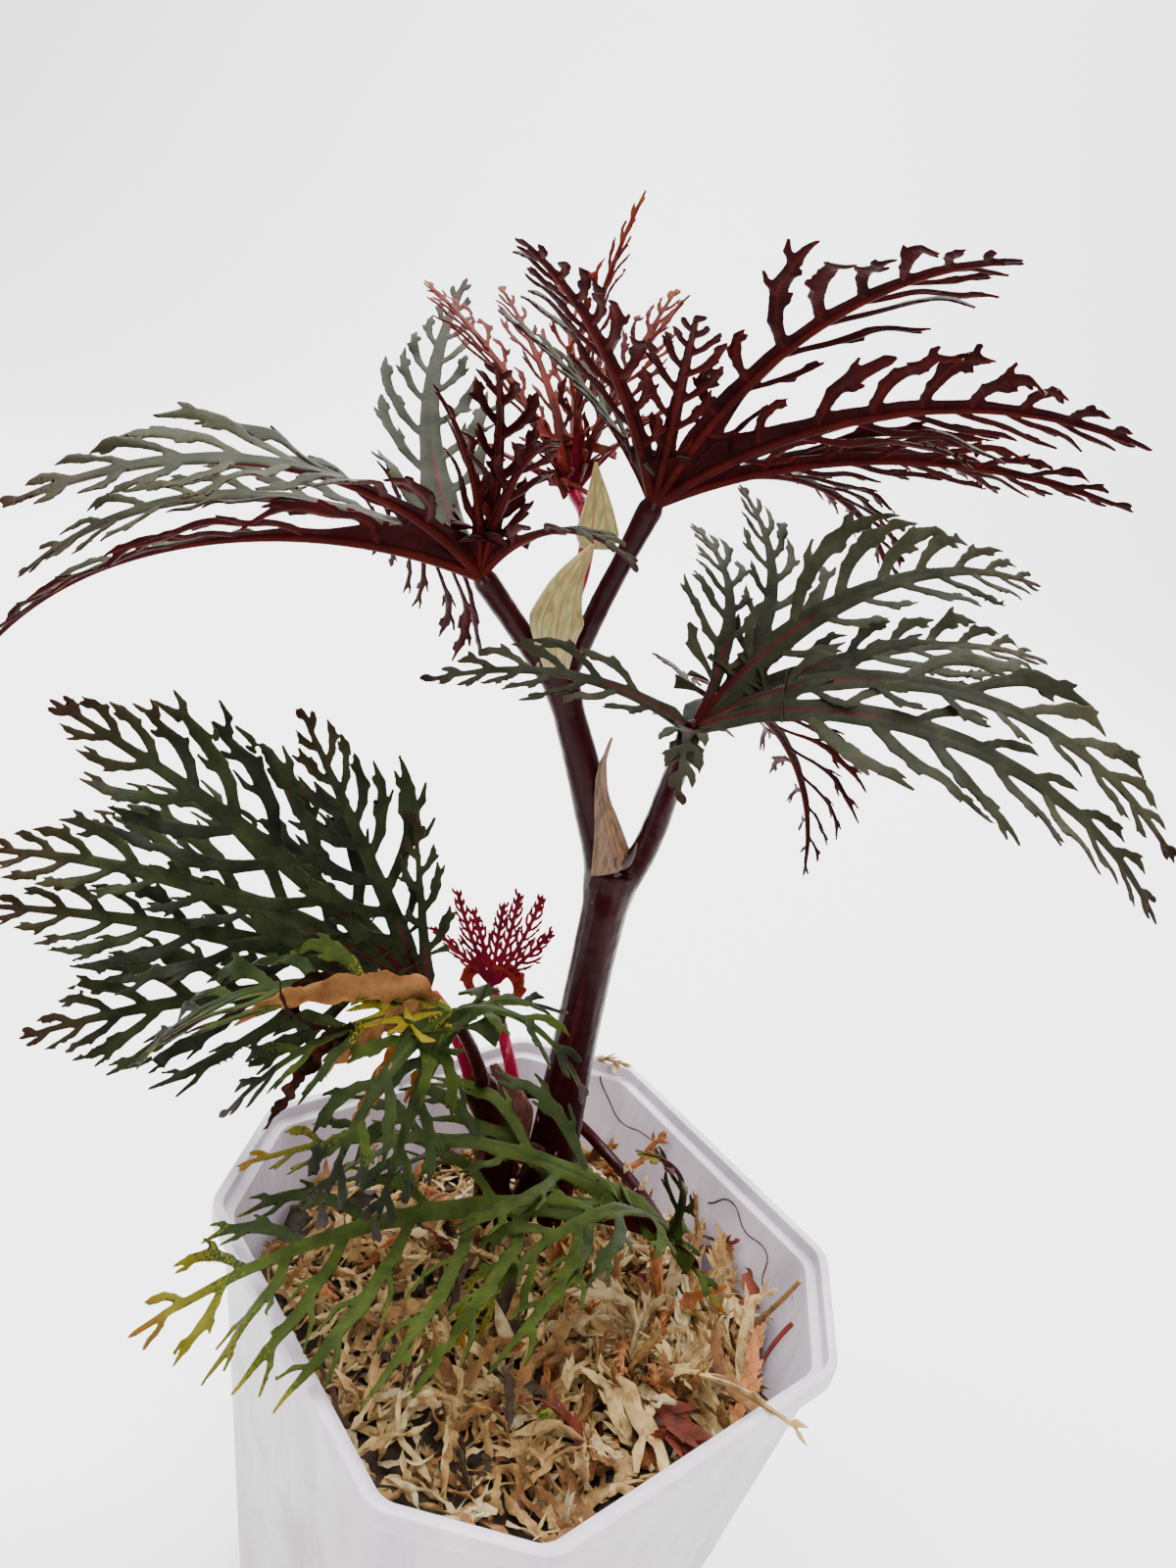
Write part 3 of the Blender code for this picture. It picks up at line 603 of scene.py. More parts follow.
def addStemCurve(path):
    bpy.ops.curve.primitive_bezier_curve_add()
    made = bpy.context.object
    spline = made.data.splines[0]
    spline.bezier_points.add(len(path) - 2)
    for point, (x, y, z, diameter) in zip(spline.bezier_points, path):
        point.co = Vector((x, y, z)) * mm
        point.radius = diameter / 2
        point.handle_left_type = point.handle_right_type = "AUTO"
    made.data.dimensions = "3D"
    made.data.bevel_depth = mm
    made.data.bevel_resolution = 5
    made.data.resolution_u = 10
    made.data.use_fill_caps = True
    bpy.ops.object.convert(target="MESH")
    return made


def growStems(name, paths, skin):
    deselectAll()
    tubes = []
    for path in paths.values():
        deselectAll()
        tubes.append(addStemCurve(path))
    deselectAll()
    for each in tubes:
        each.select_set(True)
    bpy.context.view_layer.objects.active = tubes[0]
    bpy.ops.object.join()
    grown = bpy.context.object
    grown.name = name
    settle(grown)
    joined = grown.modifiers.new("joined", "REMESH")
    joined.mode = "VOXEL"
    joined.voxel_size = stems["voxel"] * mm
    soft = grown.modifiers.new("soft", "SMOOTH")
    soft.iterations = 6
    ridges = bpy.data.textures.new(name + " ridges", "CLOUDS")
    ridges.noise_scale = stems["ridgeSize"] * mm
    relief = grown.modifiers.new("relief", "DISPLACE")
    relief.texture = ridges
    relief.texture_coords = "LOCAL"
    relief.strength = stems["ridge"] * mm
    applyAll(grown)
    bpy.ops.object.shade_smooth()
    grown.data.materials.append(skin)
    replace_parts(grown, *paths)
    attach(grown, "root")
    print(name, len(grown.data.polygons), "faces")
    return grown


growStems("stemsFine", stemPaths, maroonSkin("waxy maroon stem", stems["skin"], stems["skinTwo"], stems["bloom"],
                                             stems["roughness"]))
growStems("petiolesFine", petiolePaths, maroonSkin("waxy crimson petiole", "#8E1233", "#6E1026", "#C25A74", 0.32))


# Sheaths: thin papery bud scales with fine ribs

sheaths = {
    "bud_sheath": dict(path=[(-12.3, 16.9, 137.6), (-13.4, 16.7, 143.0), (-13.0, 16.9, 147.6), (-11.0, 17.3, 152.8)],
                       widths=(2.8, 4.9, 5.9, 6.0, 5.2, 3.9, 2.4, 1.3, 0.3), flat=0.8, ribs=11, finish="straw"),
    "tip_sheath": dict(path=[(-10.9, 21.2, 151.4), (-11.6, 21.3, 155.4), (-13.0, 21.6, 160.6)],
                       widths=(3.8, 4.8, 4.3, 3.0, 1.7, 0.3), flat=0.6, ribs=9, finish="straw"),
    "foot_sheath": dict(path=[(-3.9, 18.3, 69), (-5.9, 18.2, 75), (-9.9, 18.6, 80.5)],
                        widths=(2.6, 4.6, 4.8, 3.8, 1.2), flat=0.3, ribs=7, finish="pink"),
    # this one is a scale that clasps the stem: around an axis, with the middle and half of its arc in degrees
    "fork_sheath": dict(path=[(-1.6, 19.9, 113.4), (-3.9, 20.0, 118.6), (-5.9, 20.0, 123.2), (-7.2, 20.0, 127.2),
                              (-7.4, 20.0, 130.4)],
                        radii=(3.5, 2.7, 2.6, 2.9, 3.4), middles=(-128, -135, -142, -150, -152),
                        halves=(62, 56, 40, 18, 1.2), ribs=30, finish="dry"),
}
# small scraps beside them: finish, widths, flatness and how each runs from the stem that carries it
bracts = [
    ("dark", (0.9, 1.1, 0.7, 0.15), 0.7, dict(start=(0.5, 17.5, 114.5), heading=10, climb=50, long=4, curl=45)),
    ("dark", (0.7, 0.9, 0.5, 0.12), 0.8, dict(start=(0, 17.5, 113.5), heading=250, climb=55, long=3, curl=30)),
    ("dark", (0.8, 1.9, 1.5, 0.3), 0.3, dict(start=(0, 16, 70), heading=205, climb=25, long=6, curl=10)),
    ("straw", (0.6, 1.5, 1.2, 0.2), 0.3, dict(start=(-1.5, 16, 67), heading=220, climb=65, long=5, curl=10)),
    ("dark", (1.0, 2.2, 1.8, 0.3), 0.3, dict(start=(-8, 13.5, 72.5), heading=205, climb=60, long=7, curl=10)),
    ("pink", (1.2, 2.8, 2.2, 0.4), 0.3, dict(start=(-6, 14.5, 66), heading=205, climb=45, long=8.5, curl=25)),
]
sheathTones = dict(straw=("#938A50", "#6E6236", "#8A5038", "straw_sheath"),
                   pink=("#6A3A34", "#442020", "#7C4A40", "pink_sheath"),
                   dry=("#75543A", "#45301F", "#5A3E2A", "dry_sheath"),
                   dark=("#3A2018", "#20110D", "#5C3A2A", "dry_sheath"))


def paperySkin(name, light, dark):
    made, tree, shader = startMaterial(name)
    place = addNode(tree, "TexCoord", {}, {})
    # fibres about 0.3 mm apart along the sheath
    stretch = addNode(tree, "Mapping", {"Scale": (1.0, 1.0, 0.12)}, {"Vector": place.outputs["Object"]})
    fibre = addNode(tree, "TexNoise", {"Scale": 1 / (0.45 * mm), "Detail": 3.0}, {"Vector": stretch.outputs["Vector"]})
    spread = addNode(tree, "MapRange", {"From Min": 0.38, "From Max": 0.66}, {"Value": fibre.outputs["Fac"]})
    tint = addNode(tree, "Mix", {"data_type": "RGBA", 6: toLinear(light), 7: toLinear(dark)},
                   {0: spread.outputs["Result"]})
    bump = addNode(tree, "Bump", {"Strength": 0.4, "Distance": 0.00012}, {"Height": fibre.outputs["Fac"]})
    tree.links.new(tint.outputs[2], shader.inputs["Base Color"])
    tree.links.new(bump.outputs["Normal"], shader.inputs["Normal"])
    shader.inputs["Roughness"].default_value = 0.55
    shader.inputs["Subsurface Weight"].default_value = 0.2
    shader.inputs["Subsurface Radius"].default_value = (1.0, 0.7, 0.4)
    shader.inputs["Subsurface Scale"].default_value = 0.0008
    return made


def sheathFrame(places, rings):
    path = smoothPath(places, rings)
    ahead = np.gradient(path, axis=0)
    ahead /= np.linalg.norm(ahead, axis=1)[:, None]
    across = np.cross(ahead, (0.0, 1.0, 0.0))
    across /= np.linalg.norm(across, axis=1)[:, None]
    return path, across, np.cross(across, ahead), np.linspace(0, 1, rings)


def spreadOver(at, values):
    # values at even steps, rounded between them
    return smoothPath(np.column_stack([np.linspace(0, 1, len(values)), values, np.zeros(len(values))]), len(at))[:, 1]


def closeRings(points, rings, sides):
    # triangles round rings of points, with a fan over each end
    k, i = np.meshgrid(np.arange(rings - 1), np.arange(sides), indexing="ij")
    j = (i + 1) % sides
    low, high = k * sides, (k + 1) * sides
    faces = [np.stack([low + i, low + j, high + j], -1).reshape(-1, 3),
             np.stack([low + i, high + j, high + i], -1).reshape(-1, 3)]
    i = np.arange(sides)
    j = (i + 1) % sides
    last = (rings - 1) * sides
    points = np.vstack([points, points[:sides].mean(0), points[last:last + sides].mean(0)])
    faces += [np.stack([j, i, np.full(sides, len(points) - 2)], 1),
              np.stack([last + i, last + j, np.full(sides, len(points) - 1)], 1)]
    return points, np.concatenate(faces)


def budShape(places, widths, flat, ribs, rings=36, sides=88):
    path, across, over, at = sheathFrame(places, rings)
    halves = np.maximum(spreadOver(at, widths), 0.1) / 2
    turns = np.linspace(0, 2 * pi, sides, endpoint=False)
    ribbed = 1 + 0.06 * np.abs(np.cos(turns * ribs / 2))[None, :] * np.sin(at * pi)[:, None] ** 0.5
    ring = path[:, None] + (halves[:, None] * ribbed)[:, :, None] * (
        across[:, None] * np.cos(turns)[None, :, None] + flat * over[:, None] * np.sin(turns)[None, :, None])
    points, faces = closeRings(ring.reshape(-1, 3), rings, sides)
    # the ribs are stained, more so towards the tip
    strip = faces[:2 * (rings - 1) * sides].min(1)
    onRib = np.abs(np.cos(turns[strip % sides] * ribs / 2)) > 0.985 - 0.09 * at[strip // sides]
    return points, faces, np.concatenate([onRib, np.zeros(2 * sides, bool)]).astype(int)


def claspShape(plan, rings=44, sides=30):
    path, across, over, at = sheathFrame(plan["path"], rings)
    radii, middles, halves = (spreadOver(at, plan[key]) for key in ("radii", "middles", "halves"))
    part = np.linspace(-1, 1, sides)
    angles = np.radians(middles[:, None] + np.maximum(halves, 1)[:, None] * part[None, :])
    waves = 0.06 * np.sin(angles * plan["ribs"]) + 0.12 * np.sin(at * 9)[:, None] * part[None, :] ** 2
    ways = across[:, None] * np.cos(angles)[:, :, None] + over[:, None] * np.sin(angles)[:, :, None]
    outer = path[:, None] + ways * (radii[:, None] + waves + 0.22 * (1.05 - part ** 2))[:, :, None]
    inner = path[:, None] + ways * (radii[:, None] + waves - 0.10)[:, :, None]
    points, faces = closeRings(np.concatenate([outer, inner[:, ::-1]], 1).reshape(-1, 3), rings, 2 * sides)
    return points, faces[:, ::-1], np.zeros(len(faces), int)


def addSheath(name, shape, finish):
    light, dark, rib, slot = sheathTones[finish]
    points, faces, tones = shape
    piece = meshFromArrays(name, points, faces, tones, [paperySkin(name + " paper", light, dark),
                                                        paperySkin(name + " ribs", rib, dark)])
    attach(piece, "root")
    return piece


for sheathName, plan in sheaths.items():
    shape = claspShape(plan) if "radii" in plan else budShape(plan["path"], plan["widths"], plan["flat"], plan["ribs"])
    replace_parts(addSheath(sheathName + "_fine", shape, plan["finish"]), sheathName)
for number, (finish, widths, flat, run) in enumerate(bracts):
    addSheath("bract_" + str(number), budShape(curlRun(**run), widths, flat, 5, 16, 40), finish)
print("stems and sheaths grown")


# Leaf skins: living begonia leaf, satin cuticle above, red-stained underneath

skinTones = dict(
    greyGreen=("#2D2E22", "#1F2017", 0.46), silverGreen=("#39392B", "#2A2B20", 0.44),
    deepGreen=("#282F1B", "#191D11", 0.42), darkGreen=("#21251A", "#14170F", 0.42),
    freshGreen=("#374218", "#252E10", 0.42), midGreen=("#2B351A", "#1C2411", 0.42),
    paleGreen=("#5A6022", "#444A1A", 0.45), olive=("#5E5A1A", "#474412", 0.45),
    purpleGrey=("#38322F", "#262221", 0.45), mauve=("#4A353A", "#36262A", 0.45),
    brownGreen=("#2A2618", "#1E1B10", 0.45), brownTip=("#2A1B14", "#1C110C", 0.45),
    oliveBrown=("#312E22", "#232119", 0.45), maroon=("#280709", "#190406", 0.50),
    redBrown=("#300A0A", "#200607", 0.50), brightRed=("#3E0E0C", "#2C0909", 0.48),
    rust=("#541A0E", "#3A110A", 0.48), coral=("#74241A", "#561912", 0.48),
    crimson=("#6A0F24", "#4E0B1B", 0.40), pinkVein=("#442122", "#321718", 0.45),
    roseBase=("#5E2529", "#481B1F", 0.45), yellow=("#80701E", "#665A16", 0.50),
    amber=("#744A18", "#5A3812", 0.50), orange=("#6E3414", "#54260E", 0.50),
    driedTan=("#86603A", "#5E4024", 0.80), driedBrown=("#281A12", "#150D08", 0.85))


def leafSkin(name, tone):
    # a dull satin skin: the bright room hardly shows on it
    light, dark, roughness = tone
    made, tree, shader = startMaterial(name)
    shader.inputs["Specular IOR Level"].default_value = 0.035
    place = addNode(tree, "TexCoord", {}, {})
    mottle = addNode(tree, "TexNoise", {"Scale": 1 / (3.5 * mm), "Detail": 4.0, "Roughness": 0.6},
                     {"Vector": place.outputs["Object"]})
    spread = addNode(tree, "MapRange", {"From Min": 0.35, "From Max": 0.65}, {"Value": mottle.outputs["Fac"]})
    tint = addNode(tree, "Mix", {"data_type": "RGBA", 6: toLinear(light), 7: toLinear(dark)},
                   {0: spread.outputs["Result"]})
    # cells of the skin, about 0.35 mm across
    cells = addNode(tree, "TexVoronoi", {"Scale": 1 / (0.35 * mm)}, {"Vector": place.outputs["Object"]})
    bump = addNode(tree, "Bump", {"Strength": 0.35, "Distance": 0.00008}, {"Height": cells.outputs["Distance"]})
    tree.links.new(tint.outputs[2], shader.inputs["Base Color"])
    tree.links.new(bump.outputs["Normal"], shader.inputs["Normal"])
    shader.inputs["Roughness"].default_value = roughness
    shader.inputs["IOR"].default_value = 1.45
    shader.inputs["Subsurface Weight"].default_value = 0.18
    shader.inputs["Subsurface Radius"].default_value = (1.0, 0.35, 0.2)
    shader.inputs["Subsurface Scale"].default_value = 0.0006
    return made


skins = {name: leafSkin("leaf skin " + name, tone) for name, tone in skinTones.items()}


# Leaves, by the same rule as the plain model, with finer leaflets

def lobe(turn, rise, fall, reach, swing=0, roll=0, **more):
    return dict(turn=turn, rise=rise, fall=fall, reach=reach, swing=swing, roll=roll, **more)


leafRule = dict(web=0.20, firstLeaflet=0.19, lastLeaflet=0.975, spacing=(0.130, 0.080), spacingLeast=4.0,
                longest=0.52, lean=(38, 20), wing=0.036, wingLeast=0.28, pitch=0.26, blend=0.12, tooth=0.17,
                blade=0.17, rim=0.04, groove=0.10, ridge=0.24, stations=61)

greyTop = dict(top="greyGreen", topTwo="silverGreen", turning="oliveBrown", tip="brownTip", vein="pinkVein",
               under="maroon", underTwo="redBrown", underTip="maroon", underVein="brightRed")
leafPlans = {
    "leaf_upper_left": dict(centre=(-22.6, 15, 147), seed=3, colours=greyTop, lean=(30, 16), lobes=[
        lobe(110, -5, 5, 43, swing=30, roll=70, wide=1.2, lean=(75, 55), near=4.2, slim=0.7),
        lobe(130, 20, -20, 60, swing=-45, wide=0.7, slim=0.9),
        lobe(185, 25, 75, 55, roll=15, tipRoll=-30, wide=0.7, slim=0.85),
        lobe(205, 15, 70, 60, swing=-35, roll=35, tipRoll=-10, wide=0.75, slim=0.9),
        lobe(225, 40, 70, 51, roll=20, tipRoll=-25, wide=0.8, slim=0.9),
        lobe(245, 80, 50, 24, near=5, tipRoll=-30),
        lobe(270, 100, 85, 29, near=5),
        lobe(295, 80, 65, 24, near=5),
        lobe(320, 55, 75, 27, swing=-10, near=5, wide=0.8)]),
    "leaf_upper_right": dict(centre=(-5.7, 20, 158), seed=5, colours=greyTop, lean=(32, 16), slim=0.85, lobes=[
        lobe(190, 55, 35, 26, roll=-15, wide=0.8),
        lobe(235, 55, 45, 40, swing=15),
        lobe(270, 65, 50, 30),
        lobe(310, 65, 65, 52, swing=-15, lean=(44, 24)),
        lobe(335, 45, 55, 56, swing=-40, roll=-30, wide=0.85),
        lobe(350, 35, 45, 50, roll=-30, wide=0.8),
        lobe(365, 40, 60, 48, swing=35, roll=-20, wide=0.8),
        lobe(390, 35, 90, 46, swing=10, wide=0.9, slim=0.7)]),
    "leaf_young": dict(centre=(-15.6, 32, 155.6), seed=7, slim=0.5, near=2.9, rib=0.45, wing=0.7, lean=(32, 20),
                       colours=dict(top="rust", topTwo="brightRed", turning="rust", tip="orange", vein="brightRed",
                                    under="brightRed", underTwo="rust", underTip="orange", underVein="crimson"),
                       lobes=[
        lobe(0, 65, 30, 18),
        lobe(15, 85, 30, 26),
        lobe(30, 105, 35, 34, wide=0.8),
        lobe(65, 70, 25, 30),
        lobe(100, 40, 0, 38, swing=20, wide=0.9),
        lobe(130, 55, 30, 33),
        lobe(160, 50, 35, 37, swing=-25),
        lobe(190, 20, 10, 14),
        lobe(240, 45, 40, 14)]),
    "leaf_right": dict(centre=(4, 12, 135.7), seed=11, colours=greyTop, lean=(34, 18), lobes=[
        lobe(195, 30, 55, 31, roll=-30, slim=0.85, wide=0.85),
        lobe(260, 25, 75, 15, swing=15),
        lobe(330, 40, 90, 58, swing=30, roll=35, wide=0.8),
        lobe(350, 50, 95, 57, swing=-10, roll=30, wide=0.8),
        lobe(375, 45, 55, 47, swing=10, roll=20, slim=0.9),
        lobe(395, 60, 70, 53, swing=-10, roll=35, slim=0.9),
        lobe(400, 45, 15, 40, swing=95, slim=0.85),
        lobe(420, 60, 45, 32, swing=75, slim=0.85),
        lobe(435, 15, 100, 56, swing=-60, slim=0.6, lean=(60, 45))]),
    "leaf_lower_left": dict(centre=(-19.9, 14, 92.6), seed=13, tipFrom=(0.80, 0.93), lean=(34, 20), near=5.2,
                            wide=1.12, crowd=0.62, teeth=1.5, veinTo=0.30, colours=dict(
        top="deepGreen", topTwo="darkGreen", turning="brownGreen", tip="brownTip", vein="pinkVein",
        under="redBrown", underTwo="maroon", underTip="maroon", underVein="brightRed"), lobes=[
        lobe(200, 78, 0, 26, roll=-70, wide=0.9),
        lobe(195, 62, 0, 42, swing=10, roll=-60),
        lobe(187, 42, 18, 57, roll=-50),
        lobe(183, 26, 36, 58, roll=-45),
        lobe(186, 12, 20, 55, roll=-40),
        lobe(192, -2, 26, 51, roll=-40)]),
    "leaf_drying": dict(centre=(-15.2, 2, 99.2), seed=17, tipFrom=(0.70, 0.88), near=5.5, teeth=1.3, crowd=0.6,
                        colours=dict(
        top="midGreen", topTwo="freshGreen", turning="darkGreen", tip="purpleGrey", vein="freshGreen",
        under="freshGreen", underTwo="redBrown", underTip="purpleGrey", underVein="paleGreen", heart="yellow",
        dryTan="driedTan", dryBrown="driedBrown", blotch="amber"),
        # crisp, curled remains of its driest leaflets: tone, width, crumpling, the lobe that carries each,
        # its place along that lobe as a share, and how it runs from there
        dried=[
            ("dryTan", 4.6, 0.5, 0, 0.05, dict(heading=205, climb=35, long=24, curl=-80)),
            ("dryTan", 3.4, 0.6, 1, 0.10, dict(heading=215, climb=0, long=14, curl=-60)),
            ("dryBrown", 2.4, 0.5, 0, 0.30, dict(heading=200, climb=40, long=16, sweep=20, curl=-280)),
            ("dryBrown", 2.8, 0.7, 1, 0.40, dict(heading=220, climb=-35, long=15, curl=-35)),
            ("dryTan", 2.2, 0.6, 2, 0.35, dict(heading=225, climb=-50, long=10, curl=-25)),
            ("dryBrown", 1.0, 0.2, 1, 0.45, dict(heading=200, climb=-5, long=11, curl=95)),
            ("blotch", 3.4, 0.3, 2, 0.06, dict(heading=215, climb=-30, long=16, sweep=15, curl=-55)),
            ("blotch", 2.6, 0.3, 3, 0.06, dict(heading=245, climb=-30, long=10, curl=-45))],
        lobes=[
        lobe(190, 20, 90, 44, swing=-15, heartTo=0.30),
        lobe(210, 10, 70, 29, heartTo=0.45),
        lobe(240, 0, 75, 29, swing=20, heartTo=0.15),
        lobe(262, -20, 60, 27),
        lobe(340, 45, 100, 21, swing=-10),
        lobe(380, 25, 50, 14)]),
    "leaf_lowest": dict(centre=(17.2, 4, 71.8), seed=19, tipFrom=(0.84, 0.95), teeth=1.7, slim=0.92, colours=dict(
        top="freshGreen", topTwo="midGreen", turning="olive", tip="amber", vein="midGreen",
        under="redBrown", underTwo="freshGreen", underTip="olive", underVein="redBrown"), lobes=[
        lobe(180, 35, 60, 57, swing=20, wide=0.9, crowd=0.45, near=7.0, lean=(50, 30)),
        lobe(195, 24, 50, 66, swing=25, wide=1.25, crowd=0.22, near=7.6, lean=(56, 32), droop=0.22, longer=1.2),
        lobe(215, 60, 125, 39, swing=15, crowd=0.45, near=6.5, lean=(48, 26)),
        lobe(320, -5, 35, 10),
        lobe(400, 75, -90, 20, swing=-10)]),
    "leaf_newest": dict(centre=(-12.5, 24, 89.3), seed=23, slim=0.5, near=1.5, rib=0.32, wing=0.8, lean=(26, 16),
                        wide=0.8, crowd=0.3, pitch=0.15, blend=0.06, tipFrom=(0.62, 0.86), colours=dict(
        top="coral", topTwo="rust", turning="rust", tip="brownGreen", vein="crimson",
        under="coral", underTwo="brightRed", underTip="rust", underVein="crimson"), lobes=[
        lobe(180, 40, 10, 12, roll=70),
        lobe(178, 55, -12, 15, roll=85),
        lobe(182, 71, 8, 12, roll=95),
        lobe(178, 84, -6, 13, roll=80),
        lobe(184, 99, 10, 15, roll=95),
        lobe(180, 113, 16, 16, roll=85),
        lobe(186, 128, 10, 12, roll=75)]),
}
toneOrder = ("top", "topTwo", "turning", "tip", "vein", "under", "underTwo", "underTip", "underVein", "heart",
             "dryTan", "dryBrown", "blotch")


def runRib(centre, plan):
    # points, headings and sideways vectors at even stations along a lobe
    share = np.linspace(0, 1, leafRule["stations"])
    pitch = np.radians(plan["rise"] - plan["fall"] * share)
    yaw = np.radians(plan["turn"] + plan["swing"] * share)
    ahead = np.stack([np.cos(pitch) * np.cos(yaw), np.cos(pitch) * np.sin(yaw), np.sin(pitch)], 1)
    steps = (ahead[1:] + ahead[:-1]) / 2 * plan["reach"] / (len(share) - 1)
    level = np.stack([-np.sin(yaw), np.cos(yaw), np.zeros(len(share))], 1)
    # the blade leans by its roll, and some lobes turn their upper side out towards the tip
    lean = plan["roll"] + (plan.get("tipRoll", plan["roll"]) - plan["roll"]) * smoothStep((share - 0.15) / 0.6)
    roll = np.radians(lean)[:, None]
    side = level * np.cos(roll) + np.cross(ahead, level) * np.sin(roll)
    points = np.array(centre, float) + np.vstack([np.zeros(3), np.cumsum(steps, 0)])
    return dict(points=points, ahead=ahead, side=side, over=np.cross(ahead, side), reach=plan["reach"],
                plan=plan)


def placeOn(rib, x, y, lift):
    # from a lobe's flat places to places in space
    inside = np.clip(x, 0, rib["reach"])
    at = inside / rib["reach"] * (leafRule["stations"] - 1)
    low = np.minimum(at.astype(int), leafRule["stations"] - 2)
    part = (at - low)[..., None]
    point, ahead, side, over = (rib[key][low] * (1 - part) + rib[key][low + 1] * part
                                for key in ("points", "ahead", "side", "over"))
    return point + side * y[..., None] + ahead * (x - inside)[..., None] + over * lift[..., None]


def wingAt(rib, x):
    # half width of the blade that runs along a midrib
    reach, more = rib["reach"], rib["plan"].get("wing", 1.0)
    return np.maximum(more * leafRule["wing"] * reach * (1 - 0.85 * x / reach), leafRule["wingLeast"] * more ** 0.5)


def planLeaflets(rib, others, luck):
    # where each leaflet of a lobe starts, how it leans and how far it goes
    reach, plan = rib["reach"], rib["plan"]
    lean0, lean1 = plan.get("lean", leafRule["lean"])
    leaflets = []
    for hand in (1, -1):
        x = (leafRule["firstLeaflet"] + (0.0 if hand > 0 else 0.055)) * reach
        while x < leafRule["lastLeaflet"] * reach:
            share = x / reach
            lean = radians(lean0 + (lean1 - lean0) * share + luck.uniform(-5, 5))
            full = leafRule["longest"] * plan.get("wide", 1.0) * reach * (1 - share) ** 0.9
            full *= min(1.0, 0.55 + 2.2 * (share - 0.15)) * luck.uniform(0.85, 1.08)
            full *= plan.get("longer", 1.0) ** hand
            for cut in (1.0, 0.88, 0.76, 0.64, 0.52, 0.42):
                aside = wingAt(rib, x) + sin(lean) * full * cut
                tip = placeOn(rib, np.array(x + cos(lean) * full * cut), np.array(hand * aside), np.array(0.0))
                clear = min(np.linalg.norm(other["points"] - tip, axis=1).min() for other in others)
                if clear > plan.get("crowd", 0.85) * aside + 0.5:
                    break
            length = max(full * cut, 1.0)
            leaflets.append(dict(hand=hand, x=x, lean=lean, length=length, share=share,
                                 droop=plan.get("droop", 0.10) + luck.uniform(-0.12, 0.16),
                                 twist=plan.get("twist", 0.15) + luck.uniform(-0.35, 0.35),
                                 shade=luck.uniform(0, 1)))
            step = reach * (leafRule["spacing"][0] + (leafRule["spacing"][1] - leafRule["spacing"][0]) * share)
            x += max(step, plan.get("near", leafRule["spacingLeast"]) * (1.15 - 0.4 * share)) * luck.uniform(0.9, 1.1)
    return leaflets


def planTeeth(leaflet, long, luck):
    # place along the leaflet, side and size of each tooth; alternate, and longest near the foot
    length = leaflet["length"]
    count = 0 if length < 3.0 else 1 if length < 5.5 else 2 if length < 9.5 else 3 if length < 15 else 4
    side = 1 if luck.uniform(0, 1) < 0.7 else -1
    teeth = []
    for k in range(count):
        where = 0.42 + 0.44 * (k + 0.3) / count + luck.uniform(-0.03, 0.03)
        teeth.append((where, side * (-1) ** k, luck.uniform(0.75, 1.25) * long))
    return teeth


def leafletStrokes(leaflet, rib, teeth, slim):
    # a curved stroke from the midrib out, and the teeth on it: ends and half widths
    hand, length = leaflet["hand"], leaflet["length"]
    widest = slim * min(max(0.050 * length + 0.30, 0.32), 1.0) * (1 - 0.15 * leaflet["share"])
    widths = np.array([0.85, 0.72, 0.86, 1.0, 0.72, 0.16]) * widest
    heading = leaflet["lean"] + np.radians([30, 18, 3, -10, -20])
    at = np.array([leaflet["x"], 0.0])
    root = wingAt(rib, leaflet["x"]) / np.sin(leaflet["lean"] + 0.35)
    steps = np.array([root, length * 0.2, length * 0.27, length * 0.28, length * 0.25])
    points = [at]
    for angle, step in zip(heading, steps):
        points.append(points[-1] + step * np.array([np.cos(angle), hand * np.sin(angle)]))
    strokes = [(points[i], points[i + 1], widths[i], widths[i + 1]) for i in range(5)]
    for where, side, size in teeth:
        i = min(int(where * 5), 4)
        part = where * 5 - i
        base = points[i] * (1 - part) + points[i + 1] * part
        # a tooth leaves its leaflet steeply and bends forward to a point
        angle = heading[i] + side * radians(38)
        long = leafRule["tooth"] * size * length * (1.2 - 0.7 * where) + 0.55 + widths[i] * 0.5
        wide = widths[i] * 0.5
        middle = base + 0.5 * long * np.array([np.cos(angle), hand * np.sin(angle)])
        angle = heading[i] + side * radians(14)
        tip = middle + 0.5 * long * np.array([np.cos(angle), hand * np.sin(angle)])
        strokes += [(base, middle, wide, wide * 0.8), (middle, tip, wide * 0.8, 0.15)]
    return strokes


def webWidth(x, rib, joint):
    # half width of the blade along the midrib, on one side
    reach, wing = rib["reach"], wingAt(rib, x)
    broad = joint["wide"]
    beyond = wing + (broad - wing) * np.exp(-np.maximum(x - joint["along"], 0) / (0.35 * joint["along"] + 0.8))
    if joint["open"]:
        near = broad * np.sqrt(np.clip(x / joint["along"], 0, 1))
    else:
        near = broad + 4.0
    width = np.where(x < joint["along"], near, beyond)
    return np.minimum(width, (reach - x) * 0.3 + 0.12)


